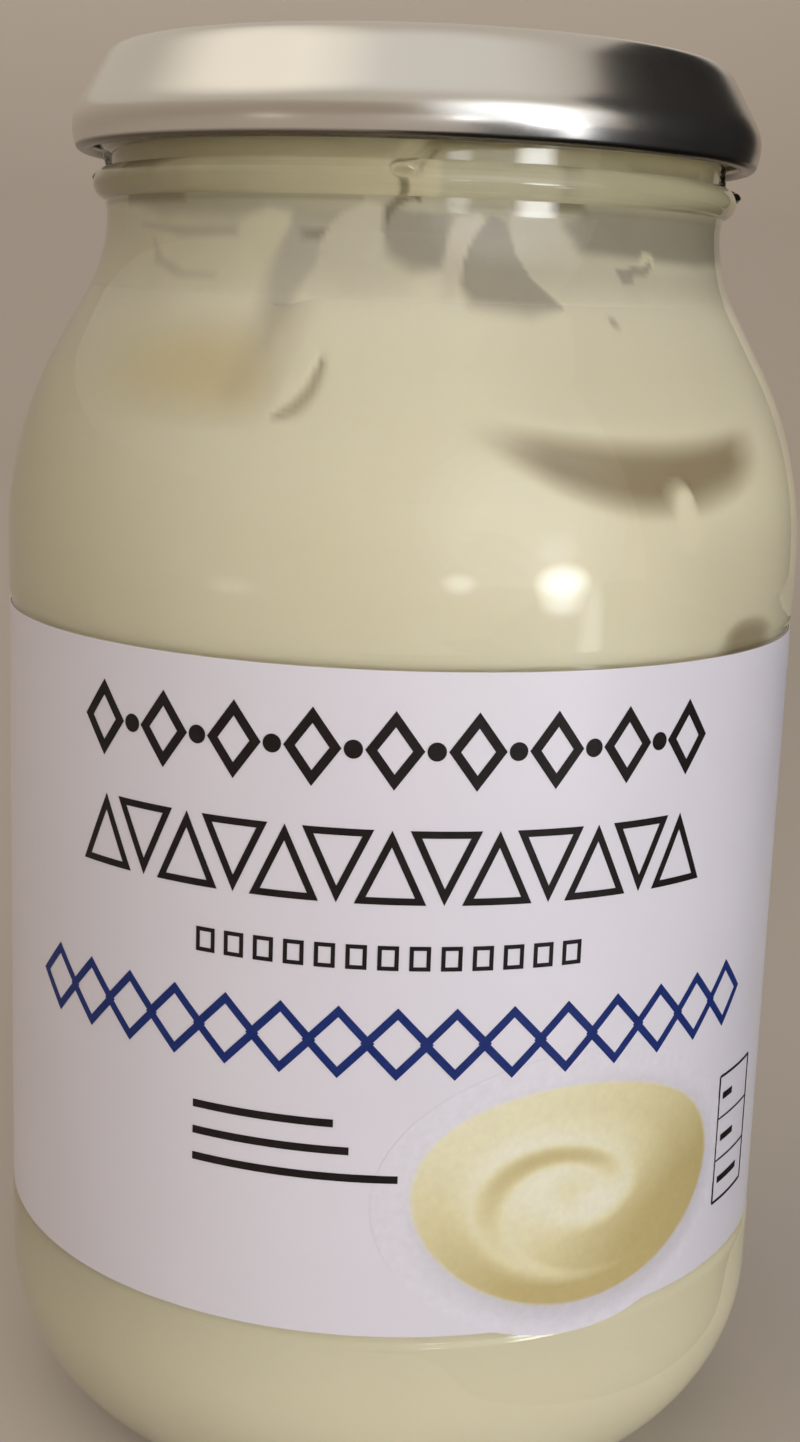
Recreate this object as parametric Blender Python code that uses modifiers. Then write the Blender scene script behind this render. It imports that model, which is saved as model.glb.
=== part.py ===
"""A half-litre glass jar of mayonnaise with a twist-off tin lid and a paper wrap label.

The jar stands on its base ring at z = 0, its axis is +Z, and the front of the label faces -Y.
Azimuths are in degrees round the axis, 0 at the front and growing towards +X.
"""

import math

import bmesh
import bpy

MM = 0.001
AROUND = 60  # flats round the glass, the lid and the label
MERGE = 0.00001
GAP = 0.3 * MM  # between pieces that touch

# The outside of the glass
BODY_RADIUS = 40.9 * MM
PANEL_RADIUS = 40.6 * MM  # the shallow recess that takes the label
PANEL_BOTTOM = 23.9 * MM
PANEL_TOP = 88.1 * MM
PANEL_STEP = 0.6 * MM  # height of the slope at each end of the recess
HEEL_RADIUS = 17.8 * MM
HEEL_TURN = 78  # degrees that the heel turns before it meets the base ring
BASE_RING_INNER = 22.0 * MM
PUNT_RADIUS = 17.0 * MM
PUNT_EDGE_RISE = 1.6 * MM
PUNT_RISE = 2.3 * MM
SHOULDER_START = 94.0 * MM
SHOULDER_RADIUS = 40.0 * MM
SHOULDER_TURN = 28.4  # degrees that the shoulder leans in by
NECK_RADIUS = 31.0 * MM
NECK_CURVE_RADIUS = 16.0 * MM
NECK_LINE = 126.3 * MM  # where the shoulder's sweep ends in the straight neck
BEAD_HEIGHT = 129.0 * MM
BEAD_CENTRE_RADIUS = 30.8 * MM
BEAD_RADIUS = 1.6 * MM
FINISH_RADIUS = 30.8 * MM  # the straight wall under the lid

# The wall of the glass
WALL = 2.7 * MM
BASE_THICKNESS = 3.0 * MM
FLOOR_LIFT = 0.6 * MM  # how much the inner heel's arc is raised for a thicker base
MOUTH_RADIUS = 28.3 * MM
RIM_HEIGHT = 141.0 * MM
RIM_ROUND = 1.1 * MM

# The four thread starts on the glass
THREADS = 4
THREAD_FIRST = -2  # azimuth of the foot of the thread that shows at the front
THREAD_RADIUS = 1.0 * MM
THREAD_FOOT = 130.2 * MM
THREAD_KNEE = 132.9 * MM
THREAD_HEAD = 135.0 * MM
THREAD_KNEE_TURN = 5
THREAD_TURN = 64

# The lid
LID_RADIUS = 34.5 * MM
LID_BOTTOM = 132.0 * MM
LID_RIM_TOP = 141.95 * MM
LID_SHEET = 0.6 * MM
CURL_RADIUS = 0.9 * MM
BAND_TOP = 135.2 * MM  # the upper end of the upright band
BAND_ROUND = 1.6 * MM
CROWN_RADIUS = 31.4 * MM  # where the sloping side meets the rounded crown
CROWN_HEIGHT = 140.9 * MM
CHANNEL_MIDDLE = 29.4 * MM  # the crown's channel, which sits over the glass rim
PANEL_EDGE = 26.3 * MM
LID_PANEL = 140.9 * MM
BUTTON_RADIUS = 9.0 * MM
BUTTON_GROOVE = 10.5 * MM
BUTTON_RISE = 0.5 * MM
BUTTON_DIP = 0.1 * MM
LUGS = 4
LUG_FIRST = 62  # azimuth, near the upper end of a thread
LUG_SIZE = (8.0 * MM, 1.6 * MM, 1.1 * MM)  # along the rim, inwards, up
LUG_CENTRE_RADIUS = 32.5 * MM

# The label
LABEL_BOTTOM = 24.6 * MM
LABEL_TOP = 87.4 * MM
LABEL_PAPER = 0.2 * MM

# The mayonnaise
FILL_AROUND = 72
FILL_SHOULDER = 119.0 * MM  # the height that its edge has without streaks
FILL_HOLLOW = 9.5 * MM  # how much lower the middle is, where spoons have been in
HOLLOW_REACH = 18 * MM  # from the glass to the even depth of the hollow
SURFACE_DROP = 2.0 * MM  # the bulk lies this much lower than its edge
SURFACE_RINGS = (0.9 * MM, 2.4 * MM, 5 * MM, 10 * MM, 18 * MM)  # in from the glass
RIPPLE = 1.2 * MM
SMEAR_THICKNESS = 1.6 * MM
DENTS_START = 84 * MM  # just behind the label's upper edge
POCKETS_START = 98 * MM  # rows lie closer together from here
STRETCH_START = 112 * MM  # rows above this one follow the edge up and down

COLOURS = {
    "jar_glass": ((0.72, 0.78, 0.70, 0.35), 0.05, 0.0),
    "lid": ((0.60, 0.58, 0.54, 1.0), 0.30, 1.0),
    "label": ((0.72, 0.69, 0.74, 1.0), 0.55, 0.0),
    "mayonnaise": ((0.80, 0.73, 0.50, 1.0), 0.35, 0.0),
}

# Where the mayonnaise has pulled away from the glass: azimuth, height, half width in degrees,
# half height, depth, and how much the ends of the pocket curl upwards.
POCKETS = (
    (-31, 111.4 * MM, 13, 3.6 * MM, 2.2 * MM, 0.0),
    (34, 103.6 * MM, 22, 2.6 * MM, 2.6 * MM, 2.2 * MM),
    (53, 88.6 * MM, 6, 2.4 * MM, 1.4 * MM, 0.0),
    (128, 108.0 * MM, 16, 3.0 * MM, 2.2 * MM, 1.4 * MM),
    (-142, 101.0 * MM, 14, 2.4 * MM, 2.0 * MM, 1.0 * MM),
)
# A channel leads from the left-hand pocket to the surface: azimuths at its foot and head
CHANNEL_FOOT = (-20, 114.0 * MM)
CHANNEL_HEAD = (-15, 125.0 * MM)
CHANNEL_HALF_WIDTH = 4.5
CHANNEL_DEPTH = 1.6 * MM
# Streaks that climb the glass and bare patches between them: azimuth, half width, rise
STREAKS = (
    (-44, 17, 4.2 * MM),
    (-9, 9, 6.0 * MM),
    (9, 7, 4.6 * MM),
    (18, 8, -2.4 * MM),
    (32, 11, 6.6 * MM),
    (62, 16, 2.6 * MM),
    (104, 14, 5.0 * MM),
    (150, 17, 3.0 * MM),
    (-96, 15, 4.6 * MM),
    (-140, 14, 3.4 * MM),
)


def arc(centre, radius, start, end, steps):
    """Points (radius, height) on a circle from start to end degrees, both ends included."""
    turns = [math.radians(start + (end - start) * i / steps) for i in range(steps + 1)]
    return [(centre[0] + radius * math.cos(a), centre[1] + radius * math.sin(a)) for a in turns]


def at_azimuth(radius, azimuth, height):
    """The point at a radius, an azimuth in degrees and a height."""
    angle = math.radians(azimuth)
    return radius * math.sin(angle), -radius * math.cos(angle), height


def material(name):
    """A plain material in the piece's own colour."""
    colour, roughness, metallic = COLOURS[name]
    made = bpy.data.materials.new(name)
    made.use_nodes = True
    shader = made.node_tree.nodes["Principled BSDF"]
    shader.inputs["Base Color"].default_value = (*colour[:3], 1.0)
    shader.inputs["Alpha"].default_value = colour[3]
    shader.inputs["Roughness"].default_value = roughness
    shader.inputs["Metallic"].default_value = metallic
    return made


def add_object(name, mesh, collection):
    """Puts a mesh in the scene as a named object, with the material of its name."""
    made = bpy.data.objects.new(name, mesh)
    collection.objects.link(made)
    if name in COLOURS:
        mesh.materials.append(material(name))
    return made


def turned(name, profile, collection, closed=False):
    """A profile of (radius, height) points turned once round the Z axis by a Screw modifier."""
    mesh = bpy.data.meshes.new(name)
    edges = [(i, i + 1) for i in range(len(profile) - 1)]
    if closed:
        edges.append((len(profile) - 1, 0))
    mesh.from_pydata([(r, 0, z) for r, z in profile], edges, [])
    made = add_object(name, mesh, collection)
    screw = made.modifiers.new("turn", "SCREW")
    screw.axis = "Z"
    screw.angle = math.tau
    screw.steps = AROUND
    screw.render_steps = AROUND
    screw.use_merge_vertices = True
    screw.merge_threshold = MERGE
    screw.use_smooth_shade = True
    return made


def join_all(target, helpers):
    """Joins every object of a collection to the target."""
    union = target.modifiers.new("join", "BOOLEAN")
    union.operation = "UNION"
    union.operand_type = "COLLECTION"
    union.collection = helpers
    union.solver = "EXACT"


def as_helper(obj):
    """Marks an object that only helps to shape another."""
    obj.hide_render = True
    obj.display_type = "WIRE"


def shoulder_arcs(inset, steps):
    """The lean from the neck down to the body, moved inwards by inset, from top to bottom."""
    neck_centre = (NECK_RADIUS + NECK_CURVE_RADIUS, NECK_LINE)
    body_centre = (BODY_RADIUS - SHOULDER_RADIUS, SHOULDER_START)
    sweep = arc(neck_centre, NECK_CURVE_RADIUS + inset, 180, 180 + SHOULDER_TURN, steps)
    swell = arc(body_centre, SHOULDER_RADIUS - inset, SHOULDER_TURN, 0, steps + 1)
    return sweep + swell


def heel_centre():
    """The middle of the heel's arc, low enough for the base ring to be flat at z = 0."""
    return BODY_RADIUS - HEEL_RADIUS, HEEL_RADIUS * math.sin(math.radians(HEEL_TURN))


def glass_outside():
    """The outer side of the glass, from the rim down to the middle of the base."""
    half_bead = math.degrees(math.acos((NECK_RADIUS - BEAD_CENTRE_RADIUS) / BEAD_RADIUS))
    rim = (FINISH_RADIUS - RIM_ROUND, RIM_HEIGHT - RIM_ROUND)
    bead = arc((BEAD_CENTRE_RADIUS, BEAD_HEIGHT), BEAD_RADIUS, 90, -half_bead, 5)
    panel = [
        (BODY_RADIUS, PANEL_TOP + PANEL_STEP),
        (PANEL_RADIUS, PANEL_TOP),
        (PANEL_RADIUS, PANEL_BOTTOM),
        (BODY_RADIUS, PANEL_BOTTOM - PANEL_STEP),
    ]
    heel = arc(heel_centre(), HEEL_RADIUS, 0, -HEEL_TURN, 6)
    heel[-1] = (heel[-1][0], 0)
    base = [(BASE_RING_INNER, 0), (PUNT_RADIUS, PUNT_EDGE_RISE), (0, PUNT_RISE)]
    return arc(rim, RIM_ROUND, 60, 0, 2) + bead + shoulder_arcs(0, 4) + panel + heel + base


def glass_inside():
    """The inner side of the glass, from the middle of its floor up to the rim."""
    centre = heel_centre()
    floor_middle = (0, PUNT_RISE + BASE_THICKNESS)
    floor_edge = (PUNT_RADIUS, PUNT_EDGE_RISE + BASE_THICKNESS)
    inner_heel = arc((centre[0], centre[1] + FLOOR_LIFT), HEEL_RADIUS - WALL, -90, 0, 4)
    lean = list(reversed(shoulder_arcs(WALL, 3)))
    rim = arc((MOUTH_RADIUS + RIM_ROUND, RIM_HEIGHT - RIM_ROUND), RIM_ROUND, 180, 90, 3)
    return [floor_middle, floor_edge] + inner_heel + lean + rim


def thread_points(first):
    """The middle line of one thread: a steep foot on the bead, then a gentle climb."""
    foot = [(0, THREAD_FOOT), (THREAD_KNEE_TURN / 2, (THREAD_FOOT + THREAD_KNEE) / 2)]
    steps = 5
    climb = [
        (
            THREAD_KNEE_TURN + (THREAD_TURN - THREAD_KNEE_TURN) * i / steps,
            THREAD_KNEE + (THREAD_HEAD - THREAD_KNEE) * i / steps,
        )
        for i in range(steps + 1)
    ]
    return [at_azimuth(FINISH_RADIUS, first + turn, height) for turn, height in foot + climb]


def thread(first, collection):
    """One thread as a closed mesh: a round bar along its middle line, sunk half into the wall."""
    curve = bpy.data.curves.new("thread", "CURVE")
    curve.dimensions = "3D"
    curve.bevel_depth = THREAD_RADIUS
    curve.bevel_resolution = 1
    curve.use_fill_caps = True
    points = thread_points(first)
    spline = curve.splines.new("POLY")
    spline.points.add(len(points) - 1)
    for i, place in enumerate(points):
        spline.points[i].co = (*place, 1)
        spline.points[i].radius = 0.75 if i in (0, len(points) - 1) else 1.0
    bar = bpy.data.objects.new("thread_curve", curve)
    bpy.context.scene.collection.objects.link(bar)
    bpy.context.view_layer.update()
    evaluated = bar.evaluated_get(bpy.context.evaluated_depsgraph_get())
    mesh = bpy.data.meshes.new_from_object(evaluated)
    place = bar.matrix_world.copy()
    bpy.data.objects.remove(bar)
    shape = bmesh.new()
    shape.from_mesh(mesh)
    bmesh.ops.remove_doubles(shape, verts=shape.verts, dist=MERGE)
    bmesh.ops.recalc_face_normals(shape, faces=shape.faces)
    shape.to_mesh(mesh)
    shape.free()
    made = add_object("thread_bar", mesh, collection)
    made.matrix_world = place
    as_helper(made)


def make_glass(collection):
    """The jar: an open hollow vessel with a push-up base, a transfer bead and four threads."""
    helpers = bpy.data.collections.new("threads")
    bpy.context.scene.collection.children.link(helpers)
    for k in range(THREADS):
        thread(THREAD_FIRST + 360 * k / THREADS, helpers)
    jar = turned("jar_glass", glass_inside() + glass_outside(), collection)
    join_all(jar, helpers)


def lid_outside():
    """The outer side of the lid, from the middle of its top down to the rolled edge."""
    button = [
        (0, LID_PANEL + BUTTON_RISE),
        (BUTTON_RADIUS - 2.5 * MM, LID_PANEL + BUTTON_RISE - BUTTON_DIP),
        (BUTTON_RADIUS, LID_PANEL),
        (BUTTON_GROOVE, LID_PANEL - BUTTON_DIP),
        (BUTTON_GROOVE + 1.5 * MM, LID_PANEL),
        (PANEL_EDGE - 1.2 * MM, LID_PANEL),
    ]
    channel = [
        (PANEL_EDGE, LID_PANEL + 0.25 * MM),
        (CHANNEL_MIDDLE - 1.4 * MM, LID_RIM_TOP - 0.12 * MM),
        (CHANNEL_MIDDLE, LID_RIM_TOP),
        (CHANNEL_MIDDLE + 1.2 * MM, LID_RIM_TOP - 0.2 * MM),
        (CROWN_RADIUS, CROWN_HEIGHT),
    ]
    band = [
        (LID_RADIUS - 0.3 * MM, BAND_TOP + BAND_ROUND / 2),
        (LID_RADIUS, BAND_TOP - BAND_ROUND / 2),
    ]
    curl = arc((LID_RADIUS - CURL_RADIUS, LID_BOTTOM + CURL_RADIUS), CURL_RADIUS, 0, -180, 5)
    return button + channel + band + curl


def lid_inside():
    """The inner side of the lid, from the rolled edge up to the middle of the sheet."""
    skirt = LID_RADIUS - LID_SHEET
    return [
        (skirt - 0.5 * MM, LID_BOTTOM + 1.9 * CURL_RADIUS),
        (skirt, LID_BOTTOM + 2.6 * CURL_RADIUS),
        (skirt, BAND_TOP - BAND_ROUND / 2),
        (skirt - 0.3 * MM, BAND_TOP + BAND_ROUND / 2),
        (CROWN_RADIUS - 0.5 * MM, CROWN_HEIGHT - 0.3 * MM),
        (CHANNEL_MIDDLE + 0.9 * MM, LID_RIM_TOP - LID_SHEET),
        (CHANNEL_MIDDLE - 1.2 * MM, LID_RIM_TOP - LID_SHEET),
        (PANEL_EDGE, LID_PANEL - 0.4 * MM),
        (PANEL_EDGE - 1.2 * MM, LID_PANEL - LID_SHEET),
        (0, LID_PANEL - LID_SHEET),
    ]


def make_lid(collection):
    """The pressed tin lid: a panel with a button, a channel over the rim, a rolled edge, lugs."""
    helpers = bpy.data.collections.new("lugs")
    bpy.context.scene.collection.children.link(helpers)
    length, depth, height = LUG_SIZE
    for k in range(LUGS):
        azimuth = LUG_FIRST + 360 * k / LUGS
        shape = bmesh.new()
        bmesh.ops.create_cube(shape, size=1)
        bmesh.ops.scale(shape, vec=(length, depth, height), verts=shape.verts)
        inner = [v for v in shape.verts if v.co.y > 0]
        bmesh.ops.scale(shape, vec=(0.6, 1, 0.6), verts=inner)
        mesh = bpy.data.meshes.new("lug")
        shape.to_mesh(mesh)
        shape.free()
        lug = add_object("lug_block", mesh, helpers)
        lug.location = at_azimuth(LUG_CENTRE_RADIUS, azimuth, LID_BOTTOM + CURL_RADIUS)
        lug.rotation_euler.z = math.radians(azimuth)
        as_helper(lug)
    lid = turned("lid", lid_outside() + lid_inside(), collection)
    join_all(lid, helpers)


def make_label(collection):
    """The wrap label: a thin ring of paper in the jar's shallow recess."""
    inner = PANEL_RADIUS + GAP
    outer = inner + LABEL_PAPER
    profile = [(inner, LABEL_TOP), (outer, LABEL_TOP), (outer, LABEL_BOTTOM), (inner, LABEL_BOTTOM)]
    turned("label", profile, collection, closed=True)


def smooth(x):
    """0 below 0, 1 above 1 and an even rise between them."""
    x = min(1.0, max(0.0, x))
    return x * x * (3 - 2 * x)


def apart(a, b):
    """The signed difference of two azimuths, from -180 to 180."""
    return (a - b + 180) % 360 - 180


def pocket_depth(azimuth, height):
    """How far the mayonnaise stands back from the glass at a place on the wall."""
    depth = 0.0
    for middle, level, half_width, half_height, deepest, curl in POCKETS:
        across = apart(azimuth, middle) / half_width
        up = (height - level - curl * across * across) / half_height
        depth += deepest * math.exp(-(across**4) - up**4)
    run = (height - CHANNEL_FOOT[1]) / (CHANNEL_HEAD[1] - CHANNEL_FOOT[1])
    lean = CHANNEL_FOOT[0] + (CHANNEL_HEAD[0] - CHANNEL_FOOT[0]) * run
    across = apart(azimuth, lean) / CHANNEL_HALF_WIDTH
    depth += CHANNEL_DEPTH * math.exp(-(across**4)) * smooth(run * 4) * smooth(5 - run * 4)
    return depth


def fill_edge(azimuth):
    """The height to which the mayonnaise clings to the glass."""
    height = FILL_SHOULDER
    for middle, half_width, rise in STREAKS:
        height += rise * math.exp(-((apart(azimuth, middle) / half_width) ** 2))
    return height


def wall_radius(height):
    """The inner radius of the glass at a height, less the gap, read off its turned profile."""
    line = glass_inside()[1:]
    for (r0, z0), (r1, z1) in zip(line, line[1:]):
        if z0 <= height <= z1 and z1 > z0:
            return r0 + (r1 - r0) * (height - z0) / (z1 - z0) - GAP
    return MOUTH_RADIUS - GAP


def spread(low, high, steps):
    """Evenly spaced values from low up to, but without, high."""
    return [low + (high - low) * i / steps for i in range(steps)]


def fill_profile():
    """The filling before it is dented: up from the middle of its floor to a level surface."""
    centre = heel_centre()
    floor = [
        (0, PUNT_RISE + BASE_THICKNESS + GAP),
        (PUNT_RADIUS, PUNT_EDGE_RISE + BASE_THICKNESS + GAP),
    ]
    heel = arc((centre[0], centre[1] + FLOOR_LIFT), HEEL_RADIUS - WALL - GAP, -90, 0, 3)
    levels = [DENTS_START] + spread(LABEL_TOP - GAP, POCKETS_START, 3)
    levels += spread(POCKETS_START, STRETCH_START, 7)
    levels += spread(STRETCH_START, FILL_SHOULDER, 4) + [FILL_SHOULDER]
    side = [(wall_radius(height), height) for height in levels]
    surface = [(side[-1][0] - inward, FILL_SHOULDER) for inward in SURFACE_RINGS]
    return floor + heel + side + surface + [(0, FILL_SHOULDER)]


def settled(place):
    """Where a point of the level filling goes: dents in the wall, an uneven hollow surface."""
    radius = math.hypot(place.x, place.y)
    azimuth = math.degrees(math.atan2(place.x, -place.y))
    wall = wall_radius(FILL_SHOULDER)
    edge = fill_edge(azimuth)
    if place.z <= DENTS_START:
        return place
    if place.z < FILL_SHOULDER - MERGE or radius > wall - MERGE:
        share = max(0.0, place.z - STRETCH_START) / (FILL_SHOULDER - STRETCH_START)
        height = place.z + share * (edge - FILL_SHOULDER)
        return at_azimuth(wall_radius(height) - pocket_depth(azimuth, height), azimuth, height)
    inward = wall - radius
    climbs = math.exp(-((inward / SMEAR_THICKNESS) ** 2) / 2)
    bulk = FILL_SHOULDER - SURFACE_DROP * (1 - climbs)
    bulk -= FILL_HOLLOW * smooth(inward / HOLLOW_REACH)
    ripple = math.sin(math.radians(3 * azimuth + 40)) * math.sin(math.pi * radius / wall)
    height = bulk + RIPPLE * ripple + (edge - bulk) * climbs
    radius *= (wall_radius(edge) - pocket_depth(azimuth, edge)) / wall
    return at_azimuth(radius, azimuth, height)


def make_mayonnaise(collection):
    """The filling: it follows the glass with dents and pockets, under an uneven surface."""
    shape = bmesh.new()
    line = [shape.verts.new((r, 0, z)) for r, z in fill_profile()]
    edges = [shape.edges.new(pair) for pair in zip(line, line[1:])]
    bmesh.ops.spin(
        shape, geom=line + edges, cent=(0, 0, 0), axis=(0, 0, 1), angle=math.tau, steps=FILL_AROUND
    )
    bmesh.ops.remove_doubles(shape, verts=shape.verts, dist=MERGE)
    for vert in shape.verts:
        vert.co = settled(vert.co)
    bmesh.ops.recalc_face_normals(shape, faces=shape.faces)
    mesh = bpy.data.meshes.new("mayonnaise")
    shape.to_mesh(mesh)
    shape.free()
    mesh.shade_smooth()
    add_object("mayonnaise", mesh, collection)


def main():
    """Clears the scene and makes the four pieces."""
    for obj in list(bpy.data.objects):
        bpy.data.objects.remove(obj)
    jar = bpy.data.collections.new("mayonnaise_jar")
    bpy.context.scene.collection.children.link(jar)
    make_glass(jar)
    make_lid(jar)
    make_label(jar)
    make_mayonnaise(jar)


main()
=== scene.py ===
"""The looks of a half-litre glass jar of mayonnaise with a wrap label and a twist-off tin lid.

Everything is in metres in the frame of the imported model: the jar stands on its base ring at
z = 0, its axis is +Z and the front of the label faces -Y. Azimuths are in degrees round the
axis, 0 at the front and growing towards +X.
"""

from __future__ import annotations

import sys
import logging
import math
from dataclasses import dataclass, field
from enum import Enum
from typing import Callable, Iterable, Sequence

import bpy
import numpy as np
from mathutils import Matrix, Vector


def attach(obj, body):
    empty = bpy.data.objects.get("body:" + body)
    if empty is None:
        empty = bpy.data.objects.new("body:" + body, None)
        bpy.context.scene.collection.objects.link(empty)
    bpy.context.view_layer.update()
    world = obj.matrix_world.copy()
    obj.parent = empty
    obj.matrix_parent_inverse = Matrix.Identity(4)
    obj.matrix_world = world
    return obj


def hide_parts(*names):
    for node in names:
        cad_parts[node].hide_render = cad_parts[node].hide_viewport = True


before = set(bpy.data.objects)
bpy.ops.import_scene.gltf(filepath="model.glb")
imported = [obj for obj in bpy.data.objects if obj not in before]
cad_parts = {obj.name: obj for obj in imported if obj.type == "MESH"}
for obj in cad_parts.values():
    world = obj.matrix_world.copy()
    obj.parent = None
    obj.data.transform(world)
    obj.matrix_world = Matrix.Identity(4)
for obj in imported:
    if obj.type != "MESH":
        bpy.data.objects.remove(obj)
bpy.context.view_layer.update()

MM = 0.001
WELD = 0.000002
LOG = logging.getLogger("mayonnaise_jar")

Point2 = tuple[float, float]
Colour = tuple[float, float, float]
Box = tuple[float, float, float, float]


def smooth(value: np.ndarray | float) -> np.ndarray | float:
    """Gives 0 below 0, 1 above 1 and an even rise between them."""
    clipped = np.clip(value, 0.0, 1.0)
    return clipped * clipped * (3 - 2 * clipped)


def apart(azimuth: np.ndarray | float, middle: np.ndarray | float) -> np.ndarray | float:
    """Gives the signed difference of two azimuths, from -180 to 180."""
    return (azimuth - middle + 180) % 360 - 180


def arc(centre: Point2, radius: float, start: float, end: float, steps: int) -> list[Point2]:
    """Gives points (radius, height) along part of a circle.

    Args:
        centre: The circle's centre.
        radius: The circle's radius.
        start: The first point's angle in degrees.
        end: The last point's angle in degrees.
        steps: How many pieces the arc has.

    Returns:
        The points in order, with both ends.
    """
    turns = [math.radians(start + (end - start) * i / steps) for i in range(steps + 1)]
    return [(centre[0] + radius * math.cos(a), centre[1] + radius * math.sin(a)) for a in turns]


def filleted(corners: Sequence[tuple[float, float, float]], steps: int = 6) -> list[Point2]:
    """Rounds the corners of an outline.

    Args:
        corners: Each corner's radius from the axis, its height and how far its rounding reaches.
        steps: How many pieces each rounding has.

    Returns:
        The points of the rounded outline.
    """
    made: list[Point2] = []
    for i, (r, z, reach) in enumerate(corners):
        if reach == 0 or i in (0, len(corners) - 1):
            made.append((r, z))
            continue
        here = Vector((r, z))
        before = Vector(corners[i - 1][:2]) - here
        after = Vector(corners[i + 1][:2]) - here
        first = here + before.normalized() * min(reach, before.length / 2)
        last = here + after.normalized() * min(reach, after.length / 2)
        for k in range(steps + 1):
            t = k / steps
            bend = first * (1 - t) ** 2 + here * 2 * t * (1 - t) + last * t * t
            made.append((bend.x, bend.y))
    return made


def divided(points: Sequence[Point2], longest: float) -> list[Point2]:
    """Adds points to an outline until no piece of it is longer than a length."""
    made = [points[0]]
    for (r0, z0), (r1, z1) in zip(points, points[1:]):
        count = max(1, math.ceil(math.hypot(r1 - r0, z1 - z0) / longest))
        made += [(r0 + (r1 - r0) * i / count, z0 + (z1 - z0) * i / count) for i in range(1, count + 1)]
    return made


class Bench:
    """The modelling steps that the pieces share, each made with Blender's own operators."""

    @staticmethod
    def clear_selection() -> None:
        """Deselects every object, because operators act on all that is selected."""
        bpy.ops.object.select_all(action="DESELECT")

    @staticmethod
    def pick(*pieces: bpy.types.Object) -> None:
        """Selects some objects and makes the first of them active."""
        Bench.clear_selection()
        for piece in pieces:
            piece.select_set(True)
        bpy.context.view_layer.objects.active = pieces[0]

    @staticmethod
    def edit() -> None:
        """Enters edit mode with everything selected."""
        bpy.ops.object.mode_set(mode="EDIT")
        bpy.ops.mesh.select_all(action="SELECT")

    @staticmethod
    def leave() -> None:
        """Goes back to object mode."""
        bpy.ops.object.mode_set(mode="OBJECT")

    @staticmethod
    def name(title: str) -> bpy.types.Object:
        """Names the new primitive and its mesh, and gives it back."""
        made = bpy.context.object
        made.name = title
        made.data.name = title
        return made

    @staticmethod
    def turned(title: str, outline: Sequence[Point2], around: int) -> bpy.types.Object:
        """Turns an outline once round the jar's axis.

        Args:
            title: The new piece's name.
            outline: Points (radius, height), drawn by extruding one vertex.
            around: How many flats the piece has round the axis.

        Returns:
            The piece, smooth shaded, with its poles and its seam merged.
        """
        Bench.clear_selection()
        bpy.ops.mesh.primitive_plane_add(size=MM, location=(0, 0, 0))
        made = Bench.name(title)
        Bench.edit()
        bpy.ops.mesh.merge(type="CENTER")
        bpy.ops.transform.translate(value=(outline[0][0], 0, outline[0][1]))
        for (r0, z0), (r1, z1) in zip(outline, outline[1:]):
            step = (r1 - r0, 0, z1 - z0)
            bpy.ops.mesh.extrude_vertices_move(TRANSFORM_OT_translate={"value": step})
        bpy.ops.mesh.select_all(action="SELECT")
        bpy.ops.mesh.spin(steps=around, angle=math.tau, center=(0, 0, 0), axis=(0, 0, 1))
        Bench.tidy()
        Bench.leave()
        bpy.ops.object.shade_smooth()
        return made

    @staticmethod
    def tidy() -> None:
        """Merges doubles and points the faces outwards, in edit mode."""
        bpy.ops.mesh.select_all(action="SELECT")
        bpy.ops.mesh.remove_doubles(threshold=WELD)
        bpy.ops.mesh.normals_make_consistent(inside=False)

    @staticmethod
    def points(piece: bpy.types.Object) -> np.ndarray:
        """Reads a mesh's vertices as rows of x, y and z."""
        flat = np.empty(len(piece.data.vertices) * 3)
        piece.data.vertices.foreach_get("co", flat)
        return flat.reshape(-1, 3)

    @staticmethod
    def move(piece: bpy.types.Object, places: np.ndarray) -> None:
        """Puts a mesh's vertices where the rows of x, y and z say."""
        piece.data.vertices.foreach_set("co", places.ravel())
        piece.data.update()

    @staticmethod
    def store(piece: bpy.types.Object, title: str, values: np.ndarray) -> None:
        """Stores three or four numbers for each vertex as a colour attribute."""
        layer = piece.data.color_attributes.new(title, "FLOAT_COLOR", "POINT")
        rows = np.ones((len(values), 4))
        rows[:, : values.shape[1]] = values
        layer.data.foreach_set("color", rows.ravel())

    @staticmethod
    def apply(piece: bpy.types.Object, kind: str, **settings: object) -> None:
        """Adds a modifier with these settings and applies it."""
        Bench.pick(piece)
        modifier = piece.modifiers.new(kind.lower(), kind)
        for key, value in settings.items():
            setattr(modifier, key, value)
        bpy.ops.object.modifier_apply(modifier=modifier.name)

    @staticmethod
    def join(title: str, pieces: Sequence[bpy.types.Object]) -> bpy.types.Object:
        """Joins objects into the first of them, under a new name."""
        Bench.pick(*pieces)
        if len(pieces) > 1:
            bpy.ops.object.join()
        return Bench.name(title)

    @staticmethod
    def settle(piece: bpy.types.Object) -> None:
        """Moves an object's place, turn and size into its mesh."""
        Bench.pick(piece)
        bpy.ops.object.transform_apply(location=True, rotation=True, scale=True)


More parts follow.
